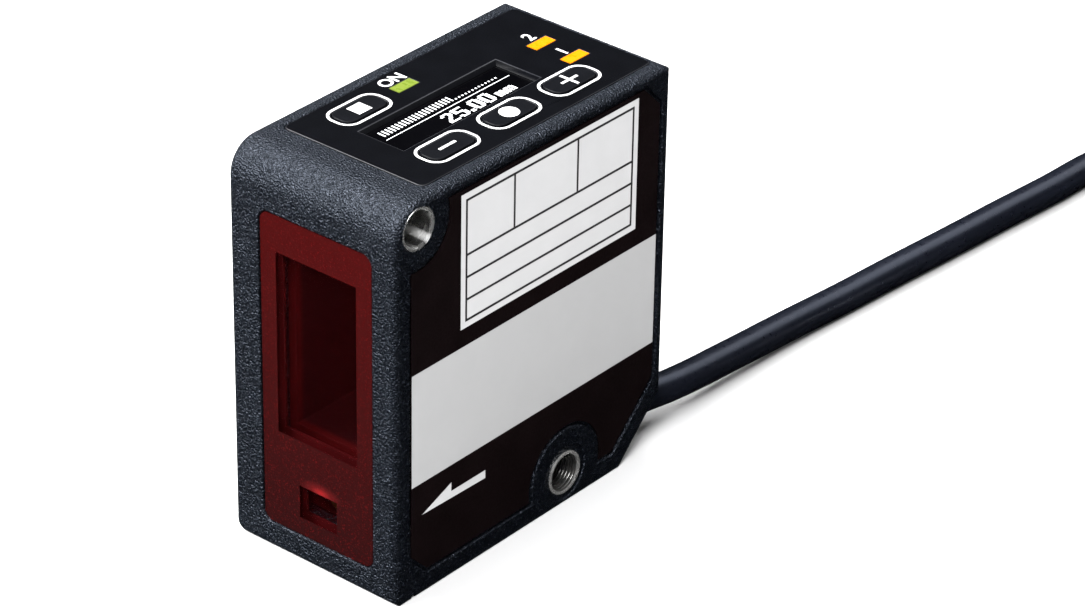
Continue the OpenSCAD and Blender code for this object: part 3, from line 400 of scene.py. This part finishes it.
def glowing(name, dark, light, strength):
    finish, tree, shader = newFinish(name, dark, resin["matt"], specular=resin["specular"])
    cloud = clouds(tree, resin["cloud"])
    tone = twoTone(tree, cloud, dark, light)
    tree.links.new(tone, shader.inputs["Base Color"])
    tree.links.new(tone, shader.inputs["Emission Color"])
    shader.inputs["Emission Strength"].default_value = strength
    tree.links.new(spread(tree, cloud, resin["shiny"], resin["matt"]), shader.inputs["Roughness"])
    return finish


# circuit boards: green lacquer over fine tracks
board = {
    "dark": (0.008, 0.085, 0.035), "light": (0.012, 0.115, 0.05), "track": (0.03, 0.2, 0.08), "rough": 0.35,
    "scale": 900, "trackWidth": 0.06, "turn": (0.6, 0.4, 0), "strength": 0.2, "depth": 0.02,
}

def circuitBoard():
    finish, tree, shader = newFinish("circuitBoard", board["dark"], board["rough"])
    tracks = tree.nodes.new("ShaderNodeTexBrick")
    tracks.inputs["Scale"].default_value = board["scale"]
    tracks.inputs["Mortar Size"].default_value = board["trackWidth"]
    tracks.inputs["Color1"].default_value = (*board["dark"], 1)
    tracks.inputs["Color2"].default_value = (*board["light"], 1)
    tracks.inputs["Mortar"].default_value = (*board["track"], 1)
    tree.links.new(objectPlace(tree, turn=board["turn"]), tracks.inputs["Vector"])
    tree.links.new(tracks.outputs["Color"], shader.inputs["Base Color"])
    relief(tree, shader, tracks.outputs["Fac"], board["strength"], board["depth"])
    return finish


finishes = {
    "sprayedPaint": sprayedPaint(), "sleeveSteel": sleeveFinish(), "redWindow": redWindow(),
    "frostedRed": frostedRed(), "opticsBlack": opticsFinish(), "lensGlass": lensGlass(),
    "circuitBoard": circuitBoard(),
}
for make, looks in ((moulded, mouldedLooks), (turnedMetal, turnedLooks), (glowing, litLooks)):
    for name, look in looks.items():
        finishes[name] = make(name, **look)
print("finishes made:", len(finishes))

# finish of every node, and of the pieces that stand for some of them
nodeFinish = {
    "housing": "sprayedPaint", "side_cover": "sprayedPaint", "cover_seal": "sealRubber",
    "cover_screws": "screwSteel", "side_label": "labelFilm", "front_window": "redWindow",
    "aperture_mask": "maskPrint", "control_panel": "panelBlack", "display_module": "displayGlass",
    "key_stop": "keyBlack", "key_minus": "keyBlack", "key_set": "keyBlack", "key_plus": "keyBlack",
    "power_light": "greenLight", "output_lights": "yellowLight", "indicator_leds": "ledResin",
    "key_switches": "switchMetal", "control_board": "circuitBoard", "main_board": "circuitBoard",
    "board_chips": "chipBlack", "board_header": "headerWhite", "optics_frame": "opticsBlack",
    "optics_screws": "screwSteel", "receiving_lens": "lensGlass", "image_sensor": "sensorChip",
    "sensor_board": "circuitBoard", "laser_barrel": "barrelBrass", "laser_diode": "contactGold",
    "collimator_lens": "lensGlass", "laser_board": "circuitBoard", "mounting_sleeve": "sleeveSteel",
    "threaded_bush": "bushSteel", "cable_bush": "sealRubber", "lead_wires": "wireJacket",
    "wire_header": "headerWhite", "cable": "cableJacket", "plug_body": "plugBlack",
    "plug_screw": "plugNickel", "plug_carrier": "plugBlack", "plug_pins": "contactGold",
}
for name, finishName in nodeFinish.items():
    for slot in nodes[name].material_slots:
        slot.material = finishes[finishName]


# the cable: straight out of the cut corner, down to the floor, one wide turn back to its plug
cable = {
    "diameter": 4.0, "length": 0.148, "exit": (8.1, 19.8, 4.0), "steps": 10, "roundSteps": 7,
    "route": [
        (8.1, 15.1, 4.0), (8.1, 23.0, 4.0), (9.1, 30.0, 3.7), (9.4, 40.0, 3.0), (9.7, 52.0, 2.3),
        (10.4, 62.0, 2.0), (11.2, 72.0, 2.0), (12.1, 82.0, 2.0), (12.9, 92.0, 2.0), (13.8, 102.0, 2.0),
        (14.6, 113.0, 2.0), (16.2, 119.5, 2.0), (21.1, 124.8, 2.0), (28.6, 127.0, 2.4), (36.1, 124.8, 3.2),
        (41.0, 119.5, 4.2), (42.6, 113.0, 4.8), (42.6, 111.0, 5.0), (42.6, 109.0, 5.0),
    ],
}

def layCable():
    data = bpy.data.curves.new("cableJacket", "CURVE")
    data.dimensions = "3D"
    data.resolution_u = cable["steps"]
    data.bevel_depth = cable["diameter"] / 2 * mm
    data.bevel_resolution = cable["roundSteps"]
    data.use_fill_caps = True
    line = data.splines.new("BEZIER")
    line.bezier_points.add(len(cable["route"]) - 1)
    for point, place in zip(line.bezier_points, cable["route"]):
        point.co = Vector(place) * mm
        point.handle_left_type = point.handle_right_type = "AUTO"
    piece = bpy.data.objects.new("cableJacket", data)
    bpy.context.scene.collection.objects.link(piece)
    data.materials.append(finishes["cableJacket"])
    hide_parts("cable")
    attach(piece, "sensor")
    return piece

jacket = layCable()
print("cable laid")


# meshes and flat prints
def toMesh(work, name):
    mesh = bpy.data.meshes.new(name)
    work.to_mesh(mesh)
    work.free()
    return mesh

def bakedMesh(piece):
    bpy.context.view_layer.update()
    return bpy.data.meshes.new_from_object(piece.evaluated_get(bpy.context.evaluated_depsgraph_get()))

def addPiece(name, mesh, finish, body):
    piece = bpy.data.objects.new(name, mesh)
    bpy.context.scene.collection.objects.link(piece)
    mesh.materials.clear()
    mesh.materials.append(finishes[finish])
    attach(piece, body)
    return piece

def roundedLoop(width, length, radius, centre, steps=8):
    loop = []
    for cx, cy, start in ((1, 1, 0), (-1, 1, 90), (-1, -1, 180), (1, -1, 270)):
        for i in range(steps + 1):
            angle = math.radians(start + 90 * i / steps)
            loop.append((
                centre[0] + cx * (width / 2 - radius) + radius * math.cos(angle),
                centre[1] + cy * (length / 2 - radius) + radius * math.sin(angle),
            ))
    return loop

def circleLoop(radius, centre, steps=36):
    angles = [2 * math.pi * i / steps for i in range(steps)]
    return [(centre[0] + radius * math.cos(angle), centre[1] + radius * math.sin(angle)) for angle in angles]

def barLoop(u0, v0, u1, v1):
    return [(u0, v0), (u1, v0), (u1, v1), (u0, v1)]

def onTop(u, v, z):
    return Vector((u, v, z)) * mm

def onSide(u, v, x):
    return Vector((x, u, v)) * mm

def onFront(u, v, y):
    return Vector((u, y, v)) * mm

def printMesh(name, shapes, level, thick, place):
    # each shape is an outline with the outline of its gap, or with None
    work = bmesh.new()
    for outer, inner in shapes:
        low = [work.verts.new(place(u, v, level)) for u, v in outer]
        high = [work.verts.new(place(u, v, level + thick)) for u, v in outer]
        count = len(outer)
        for i in range(count):
            k = (i + 1) % count
            work.faces.new((low[i], low[k], high[k], high[i]))
        if inner is None:
            work.faces.new(high)
            work.faces.new(low[::-1])
            continue
        lowIn = [work.verts.new(place(u, v, level)) for u, v in inner]
        highIn = [work.verts.new(place(u, v, level + thick)) for u, v in inner]
        for i in range(count):
            k = (i + 1) % count
            work.faces.new((lowIn[k], lowIn[i], highIn[i], highIn[k]))
            work.faces.new((high[i], high[k], highIn[k], highIn[i]))
            work.faces.new((low[k], low[i], lowIn[i], lowIn[k]))
    bmesh.ops.recalc_face_normals(work, faces=work.faces)
    return toMesh(work, name)


# frosted face of the window, open over the receiving lens and the laser
window = {
    "face": -23.1, "ink": -0.012, "centre": (0.5, 23.5), "size": (16.3, 39.9, 1.25),
    "holes": [(-5.4, 15.9, 6.4, 38.9), (-2.3, 5.8, 3.3, 10.0)],
}

def holedMesh(name, outer, holes, level, thick, place):
    work = bmesh.new()
    for loop in (outer, *holes):
        ring = [work.verts.new(place(u, v, level)) for u, v in loop]
        for i, corner in enumerate(ring):
            work.edges.new((corner, ring[(i + 1) % len(ring)]))
    bmesh.ops.triangle_fill(work, use_beauty=True, edges=work.edges)
    raised = bmesh.ops.extrude_face_region(work, geom=work.faces[:])["geom"]
    corners = [part for part in raised if isinstance(part, bmesh.types.BMVert)]
    bmesh.ops.translate(work, vec=place(0, 0, level + thick) - place(0, 0, level), verts=corners)
    bmesh.ops.recalc_face_normals(work, faces=work.faces)
    return toMesh(work, name)

def frostWindow():
    outer = roundedLoop(*window["size"], window["centre"])
    holes = [barLoop(*hole) for hole in window["holes"]]
    mesh = holedMesh("windowFrost", outer, holes, window["face"], window["ink"], onFront)
    addPiece("windowFrost", mesh, "frostedRed", "sensor")

frostWindow()
print("window frosted")


# edges that catch the light: a merged copy of the node with its outer edges eased
edges = {
    "housing": {
        "width": 0.16, "body": "sensor", "slot": "housing_paint",
        "levels": (("x", 12.3), ("x", -12.3), ("y", -23.3), ("z", 50.0)),
    },
    "side_cover": {"width": 0.14, "body": "sensor", "slot": "housing_paint", "levels": (("x", 12.0),)},
    "control_panel": {
        "width": 0.08, "body": "sensor", "slot": "panel_black", "rim": "panelRimHighlight", "levels": (("z", 50.0),),
    },
}
for key in ("stop", "minus", "set", "plus"):
    edges["key_" + key] = {
        "width": 0.14, "body": key + "_key", "slot": "key_black", "levels": (("z", 50.15),),
    }
easing = {"weld": 0.002, "flatAngle": 0.05, "smoothAngle": 28, "sharpAngle": 38, "near": 0.01, "segments": 3}

def bend(edge):
    # angle across an edge in degrees, none at an open one
    return math.degrees(edge.calc_face_angle(0)) if len(edge.link_faces) == 2 else None

def mergedCopy(name):
    work = bmesh.new()
    work.from_mesh(nodes[name].data)
    bmesh.ops.remove_doubles(work, verts=work.verts, dist=easing["weld"] * mm)
    bmesh.ops.dissolve_limit(
        work, angle_limit=math.radians(easing["flatAngle"]), verts=work.verts, edges=work.edges)
    for face in work.faces:
        face.smooth = True
    for edge in work.edges:
        edge.smooth = bend(edge) is not None and bend(edge) < easing["smoothAngle"]
    return work

def easeEdges(name, spec):
    work = mergedCopy(name)
    weight = work.edges.layers.float.new("bevel_weight_edge")
    for edge in work.edges:
        if bend(edge) is None or bend(edge) <= easing["sharpAngle"]:
            continue
        for axis, level in spec["levels"]:
            if all(abs(v.co["xyz".index(axis)] - level * mm) < easing["near"] * mm for v in edge.verts):
                edge[weight] = 1.0
                edge.smooth = True
    mesh = toMesh(work, name + "Eased")
    piece = addPiece(name + "Eased", mesh, nodeFinish[name], spec["body"])
    bevel = piece.modifiers.new("easedEdges", "BEVEL")
    bevel.limit_method = "WEIGHT"
    bevel.width = spec["width"] * mm
    bevel.segments = easing["segments"]
    bevel.use_clamp_overlap = False
    # the panel's eased rim gets a lighter finish: a painted highlight along the edge, besides the lamps' real
    # gloss
    if "rim" in spec:
        mesh.materials.append(finishes[spec["rim"]])
        bevel.material = len(mesh.materials) - 1
    flatten = piece.modifiers.new("flatFaces", "WEIGHTED_NORMAL")
    flatten.keep_sharp = True
    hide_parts(name)

for name, spec in edges.items():
    easeEdges(name, spec)
print("edges eased:", len(edges))


# label on the side cover: grey field, ruled pale panel and a beam arrow
label = {
    "face": 12.15, "ink": 0.012, "lineInk": 0.02,
    "field": (-20.55, 14.4, 21.65, 28.8),
    "panel": (-12.5, 31.1, 17.8, 47.9), "margin": 0.75, "line": 0.3,
    "rows": (34.6, 37.4, 40.2), "columns": (-3.6, 7.2),
    "arrow": [(-18.8, 10.2), (-13.9, 12.1), (-13.9, 10.95), (-8.1, 10.95), (-8.1, 9.9)],
}

def ruledLines():
    # a frame inside the panel, rows across it, and columns above the top row
    y0, z0, y1, z1 = label["panel"]
    m, w = label["margin"], label["line"]
    inner = (y0 + m, z0 + m, y1 - m, z1 - m)
    lines = [(barLoop(*inner), barLoop(inner[0] + w, inner[1] + w, inner[2] - w, inner[3] - w))]
    for z in label["rows"]:
        lines.append((barLoop(inner[0] + w, z - w / 2, inner[2] - w, z + w / 2), None))
    top = label["rows"][-1]
    for y in label["columns"]:
        lines.append((barLoop(y - w / 2, top + w / 2, y + w / 2, inner[3] - w), None))
    return lines

def printLabel():
    face, ink, lineInk = label["face"], label["ink"], label["lineInk"]
    field = [(barLoop(*label["field"]), None)]
    pale = [(barLoop(*label["panel"]), None), (label["arrow"], None)]
    for name, shapes, level, thick, finish in (
        ("labelField", field, face, ink, "greyInk"),
        ("labelPanel", pale, face, ink, "paleInk"),
        ("labelLines", ruledLines(), face + ink, lineInk - ink, "blackInk"),
    ):
        addPiece(name, printMesh(name, shapes, level, thick, onSide), finish, "sensor")

printLabel()
print("label printed")


# top panel: white outlines round the keys, marks on the keys, words beside the lights
panel = {
    "top": 50.0, "keyTop": 50.15, "ink": 0.015,
    "outline": (4.5, 8.2, 1.85), "hole": (3.84, 7.54, 1.53),
    "keys": {
        "stop_key": (-6.65, -8.0), "minus_key": (6.2, -8.0), "set_key": (6.2, 2.35), "plus_key": (6.2, 12.7),
    },
    "square": (1.0, 1.05), "bar": (0.19, 1.35), "dot": 1.2,  # half sizes of the marks
    "words": [("ON", (-8.6, -0.45)), ("2", (-4.0, 17.8)), ("1", (1.05, 17.7))],
    "wordHeight": 2.35, "bold": 0.05,
}

def keyMarks(body, centre):
    x, y = centre
    thin, long = panel["bar"]
    wide, tall = panel["square"]
    bar = barLoop(x - thin, y - long, x + thin, y + long)
    loops = {
        "stop_key": [barLoop(x - wide, y - tall, x + wide, y + tall)],
        "minus_key": [bar],
        "set_key": [circleLoop(panel["dot"], centre)],
        "plus_key": [
            bar,
            barLoop(x + thin, y - thin, x + long, y + thin),
            barLoop(x - long, y - thin, x - thin, y + thin),
        ],
    }
    return [(loop, None) for loop in loops[body]]

def wordMesh():
    # letters read along +Y, tops towards -X
    work = bmesh.new()
    for text, centre in panel["words"]:
        data = bpy.data.curves.new("words", "FONT")
        data.body = text
        data.size = panel["wordHeight"] * mm
        data.align_x = data.align_y = "CENTER"
        data.offset = panel["bold"] * mm
        data.extrude = panel["ink"] / 2 * mm
        letters = bpy.data.objects.new("words", data)
        bpy.context.scene.collection.objects.link(letters)
        flat = bakedMesh(letters)
        seat = Vector((*centre, panel["top"] + panel["ink"] / 2)) * mm
        flat.transform(Matrix.Translation(seat) @ Matrix.Rotation(math.pi / 2, 4, "Z"))
        work.from_mesh(flat)
        bpy.data.objects.remove(letters)
        bpy.data.meshes.remove(flat)
    return toMesh(work, "panelWords")

def printPanel():
    shapes = []
    for centre in panel["keys"].values():
        shapes.append((roundedLoop(*panel["outline"], centre), roundedLoop(*panel["hole"], centre)))
    mesh = printMesh("keyOutlines", shapes, panel["top"], panel["ink"], onTop)
    addPiece("keyOutlines", mesh, "whiteInk", "sensor")
    for body, centre in panel["keys"].items():
        mesh = printMesh("mark_" + body, keyMarks(body, centre), panel["keyTop"], panel["ink"], onTop)
        addPiece("mark_" + body, mesh, "whiteInk", body)
    addPiece("panelWords", wordMesh(), "whiteInk", "sensor")

printPanel()
print("panel printed")


# shared by the trees: named inputs at the start, instances realized and dressed at the end
def newTree(name, inputs, result):
    tree = bpy.data.node_groups.new(name, "GeometryNodeTree")
    sockets = {}
    for title, kind in inputs.items():
        socket = tree.interface.new_socket(title, in_out="INPUT", socket_type="NodeSocket" + kind)
        sockets[title] = socket.identifier
    tree.interface.new_socket(result, in_out="OUTPUT", socket_type="NodeSocketGeometry")
    return tree, sockets, tree.nodes.new("NodeGroupInput").outputs

def endTree(tree, shape, finish, result):
    realize = tree.nodes.new("GeometryNodeRealizeInstances")
    dress = tree.nodes.new("GeometryNodeSetMaterial")
    end = tree.nodes.new("NodeGroupOutput")
    tree.links.new(shape, realize.inputs["Geometry"])
    tree.links.new(realize.outputs["Geometry"], dress.inputs["Geometry"])
    tree.links.new(finish, dress.inputs["Material"])
    tree.links.new(dress.outputs["Geometry"], end.inputs[result])

def bakeTree(name, tree, sockets, sizes, points, finish, body):
    # runs a tree on some points and keeps the result as a plain mesh
    seed = bpy.data.meshes.new(name + "Seed")
    seed.from_pydata(points, [], [])
    carrier = bpy.data.objects.new(name + "Seed", seed)
    bpy.context.scene.collection.objects.link(carrier)
    modifier = carrier.modifiers.new("shape", "NODES")
    modifier.node_group = tree
    for title, value in sizes.items():
        modifier[sockets[title]] = value
    modifier[sockets["Finish"]] = finishes[finish]
    mesh = bakedMesh(carrier)
    mesh.name = name
    carrier.modifiers.remove(modifier)
    bpy.data.objects.remove(carrier)
    bpy.data.meshes.remove(seed)
    return addPiece(name, mesh, finish, body)


# display: lit dots for a reading, a level bar and a ruled line
reading = {
    "glass": 49.45, "thick": 0.02, "text": "25.00", "unit": "mm",
    "dot": 0.25, "pitch": 0.26, "unitDot": 0.18, "unitPitch": 0.19,
    "origin": (2.3, -2.7), "unitOrigin": (2.3, 5.6),
    "bars": 34, "barsLit": 21, "barStep": 0.56, "barStart": (-1.55, -10.0), "barSize": (1.15, 0.2),
    "tickSize": (0.25, 0.2), "tickShift": 0.5, "line": (-0.36, -10.6, -0.26, 10.0),
}
glyphs = {
    "0": ("011110", "110011", "110011", "110011", "110011", "110011", "110011", "011110"),
    "2": ("011110", "110011", "000011", "000110", "001100", "011000", "110000", "111111"),
    "5": ("111111", "110000", "110000", "111110", "000011", "000011", "110011", "011110"),
    ".": ("00", "00", "00", "00", "00", "00", "11", "11"),
    "m": ("1110110", "1101011", "1101011", "1101011", "1101011", "1101011"),
}

def dotTree():
    inputs = {
        "Points": "Geometry", "Width": "Float", "Length": "Float", "Thickness": "Float", "Finish": "Material",
    }
    tree, sockets, given = newTree("litDotTree", inputs, "Dots")
    size = tree.nodes.new("ShaderNodeCombineXYZ")
    dot = tree.nodes.new("GeometryNodeMeshCube")
    scatter = tree.nodes.new("GeometryNodeInstanceOnPoints")
    tree.links.new(given["Width"], size.inputs["X"])
    tree.links.new(given["Length"], size.inputs["Y"])
    tree.links.new(given["Thickness"], size.inputs["Z"])
    tree.links.new(size.outputs["Vector"], dot.inputs["Size"])
    tree.links.new(given["Points"], scatter.inputs["Points"])
    tree.links.new(dot.outputs["Mesh"], scatter.inputs["Instance"])
    endTree(tree, scatter.outputs["Instances"], given["Finish"], "Dots")
    return tree, sockets

def textPoints(text, origin, pitch, level):
    points = []
    x, y = origin
    for sign in text:
        rows = glyphs[sign]
        for r, row in enumerate(rows):
            for c, lit in enumerate(row):
                if lit == "1":
                    points.append(Vector((x - (len(rows) - 1 - r) * pitch, y + c * pitch, level)) * mm)
        y += (len(rows[0]) + 1) * pitch
    return points

def lightDisplay():
    tree, sockets = dotTree()
    level = reading["glass"] + reading["thick"] / 2
    x, y = reading["barStart"]
    step, lit = reading["barStep"], reading["barsLit"]
    tickX = x + reading["tickShift"]
    digits = textPoints(reading["text"], reading["origin"], reading["pitch"], level)
    unit = textPoints(reading["unit"], reading["unitOrigin"], reading["unitPitch"], level)
    bars = [Vector((x, y + i * step, level)) * mm for i in range(lit)]
    ticks = [Vector((tickX, y + i * step, level)) * mm for i in range(lit, reading["bars"])]
    for name, points, (width, length) in (
        ("readingDots", digits, (reading["dot"], reading["dot"])),
        ("unitDots", unit, (reading["unitDot"], reading["unitDot"])),
        ("levelBars", bars, reading["barSize"]),
        ("levelTicks", ticks, reading["tickSize"]),
    ):
        sizes = {"Width": width * mm, "Length": length * mm, "Thickness": reading["thick"] * mm}
        bakeTree(name, tree, sockets, sizes, points, "litDots", "sensor")
    shape = [(barLoop(*reading["line"]), None)]
    mesh = printMesh("displayLine", shape, reading["glass"], reading["thick"], onTop)
    addPiece("displayLine", mesh, "litDots", "sensor")

lightDisplay()
print("display lit")


# threads: one tree draws a helix with a pointed ridge
bush = {
    "centre": (5.95, 3.9), "outer": 2.75, "root": 2.36, "half": 12.3, "ease": 0.09,
    "pitch": 0.45, "ridge": 0.22, "inset": 0.35, "sides": 72, "smoothAngle": 30,
}
ringThread = {
    "centre": (42.6, 5.0), "from": 81.05, "to": 76.75, "root": 3.45, "pitch": 1.0, "ridge": 0.5,
    "shoulder": 0.25, "cutFrom": 3.3, "cutTo": 4.1,
}
helixSteps = {"turn": 40, "profile": 4}

def threadTree():
    inputs = {
        "Seed": "Geometry", "Radius": "Float", "Length": "Float", "Pitch": "Float", "Ridge": "Float",
        "Turn": "Vector", "Place": "Vector", "Finish": "Material",
    }
    tree, sockets, given = newTree("threadTree", inputs, "Thread")
    helix = tree.nodes.new("GeometryNodeCurveSpiral")
    helix.inputs["Resolution"].default_value = helixSteps["turn"]
    upright = tree.nodes.new("GeometryNodeSetCurveNormal")
    upright.mode = "Z_UP"
    profile = tree.nodes.new("GeometryNodeCurvePrimitiveCircle")
    profile.inputs["Resolution"].default_value = helixSteps["profile"]
    sweep = tree.nodes.new("GeometryNodeCurveToMesh")
    sweep.inputs["Fill Caps"].default_value = True
    lay = tree.nodes.new("GeometryNodeTransform")
    link = tree.links.new
    link(mathNode(tree, "DIVIDE", given["Length"], given["Pitch"]), helix.inputs["Rotations"])
    link(given["Radius"], helix.inputs["Start Radius"])
    link(given["Radius"], helix.inputs["End Radius"])
    link(given["Length"], helix.inputs["Height"])
    link(given["Ridge"], profile.inputs["Radius"])
    link(helix.outputs["Curve"], upright.inputs["Curve"])
    link(upright.outputs["Curve"], sweep.inputs["Curve"])
    link(profile.outputs["Curve"], sweep.inputs["Profile Curve"])
    link(sweep.outputs["Mesh"], lay.inputs["Geometry"])
    link(given["Turn"], lay.inputs["Rotation"])
    link(given["Place"], lay.inputs["Translation"])
    endTree(tree, lay.outputs["Geometry"], given["Finish"], "Thread")
    return tree, sockets

def bushShell():
    # tube across the width, with eased lips at both ends
    half, outer, root, ease = bush["half"], bush["outer"], bush["root"], bush["ease"]
    profile = [
        (outer, -half + ease), (outer - ease, -half), (root + ease, -half), (root, -half + ease),
        (root, half - ease), (root + ease, half), (outer - ease, half), (outer, half - ease),
    ]
    cy, cz = bush["centre"]
    work = bmesh.new()
    rings = []
    for i in range(bush["sides"]):
        angle = 2 * math.pi * i / bush["sides"]
        y, z = math.cos(angle), math.sin(angle)
        rings.append([work.verts.new(Vector((x, cy + r * y, cz + r * z)) * mm) for r, x in profile])
    for i, ring in enumerate(rings):
        following = rings[(i + 1) % len(rings)]
        for k in range(len(profile)):
            n = (k + 1) % len(profile)
            work.faces.new((ring[k], ring[n], following[n], following[k]))
    bmesh.ops.recalc_face_normals(work, faces=work.faces)
    mesh = toMesh(work, "bushShell")
    mesh.polygons.foreach_set("use_smooth", [True] * len(mesh.polygons))
    mesh.set_sharp_from_angle(angle=math.radians(bush["smoothAngle"]))
    piece = addPiece("bushShell", mesh, nodeFinish["threaded_bush"], "sensor")
    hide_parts("threaded_bush")

def screwRing():
    # the plug's ring with its thread cut down to the root, ready for the ridge
    work = mergedCopy("plug_screw")
    cx, cz = (v * mm for v in ringThread["centre"])
    end = (ringThread["from"] + ringThread["shoulder"]) * mm
    for v in work.verts:
        arm = Vector((v.co.x - cx, v.co.z - cz))
        if v.co.y < end and ringThread["cutFrom"] * mm < arm.length < ringThread["cutTo"] * mm:
            arm *= ringThread["root"] * mm / arm.length
            v.co.x, v.co.z = cx + arm.x, cz + arm.y
    mesh = toMesh(work, "screwRing")
    piece = addPiece("screwRing", mesh, nodeFinish["plug_screw"], "plug_ring")
    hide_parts("plug_screw")
    return piece

def threadSizes(spec, length, turn, place):
    return {
        "Radius": spec["root"] * mm, "Length": length * mm, "Pitch": spec["pitch"] * mm,
        "Ridge": spec["ridge"] * mm, "Turn": turn, "Place": tuple(v * mm for v in place),
    }

def cutThreads():
    tree, sockets = threadTree()
    bushShell()
    length = 2 * (bush["half"] - bush["inset"])
    sizes = threadSizes(bush, length, (0, math.pi / 2, 0), (-length / 2, *bush["centre"]))
    bakeTree("bushThread", tree, sockets, sizes, [(0, 0, 0)], "threadSteel", "sensor")
    ring = screwRing()
    cx, cz = ringThread["centre"]
    length = ringThread["from"] - ringThread["to"]
    sizes = threadSizes(ringThread, length, (math.pi / 2, 0, 0), (cx, ringThread["from"], cz))
    ridge = bakeTree(
        "ringThread", tree, sockets, sizes, [(0, 0, 0)], "plugNickel", "plug_ring")
    return ring, ridge

plugRing, plugThread = cutThreads()
print("threads cut")


# studio: pale floor and soft lights
studio = {
    "floor": 3.0, "floorDark": (0.86, 0.86, 0.865), "floorLight": (0.89, 0.89, 0.89), "floorCloud": 14,
    "floorRough": 0.7, "floorSpecular": 0.2, "world": (1.0, 1.0, 1.0), "worldStrength": 0.14,
    "lights": [  # name, place, aim, size, watts
        ("frontLight", (-0.64, -0.66, 0.74), (0, 0, 0.03), 0.5, 21.0),
        ("lowLight", (-0.70, -0.72, 0.14), (0, -0.02, 0.025), 0.3, 2.3),
        ("bendLight", (-0.66, -0.20, 0.98), (0, 0, 0.04), 0.4, 9.0),
        ("topLight", (-0.26, 0.06, 1.30), (0, 0, 0), 1.3, 20.0),
        ("sideLight", (0.38, -0.66, 0.84), (0, 0, 0.03), 0.35, 11.0),
        ("backLight", (0.15, 0.86, 0.95), (0.01, 0.06, 0), 0.8, 2.7),
    ],
}

def lightWorld(scene):
    scene.view_settings.view_transform = "Standard"
    world = bpy.data.worlds.new("studio")
    scene.world = world
    world.use_nodes = True
    sky = world.node_tree.nodes["Background"]
    sky.inputs["Color"].default_value = (*studio["world"], 1)
    sky.inputs["Strength"].default_value = studio["worldStrength"]
    world.cycles_visibility.glossy = False  # dark gloss stays dark

def layFloor(scene):
    finish, tree, shader = newFinish(
        "studioFloor", studio["floorDark"], studio["floorRough"], specular=studio["floorSpecular"])
    tone = twoTone(tree, clouds(tree, studio["floorCloud"]), studio["floorDark"], studio["floorLight"])
    tree.links.new(tone, shader.inputs["Base Color"])
    half = studio["floor"]
    mesh = bpy.data.meshes.new("studioFloor")
    corners = [(-half, -half, 0), (half, -half, 0), (half, half, 0), (-half, half, 0)]
    mesh.from_pydata(corners, [], [(0, 1, 2, 3)])
    mesh.materials.append(finish)
    floor = bpy.data.objects.new("studioFloor", mesh)
    scene.collection.objects.link(floor)
    floor.visible_glossy = False  # as over a black studio table

def hangLights(scene):
    for name, place, aim, size, power in studio["lights"]:
        data = bpy.data.lights.new(name, "AREA")
        data.size = size
        data.energy = power
        lamp = bpy.data.objects.new(name, data)
        lamp.location = place
        lamp.rotation_euler = (Vector(aim) - Vector(place)).to_track_quat("-Z", "Y").to_euler()
        scene.collection.objects.link(lamp)

for build in (lightWorld, layFloor, hangLights):
    build(bpy.context.scene)
print("studio lit")

bpy.context.view_layer.update()
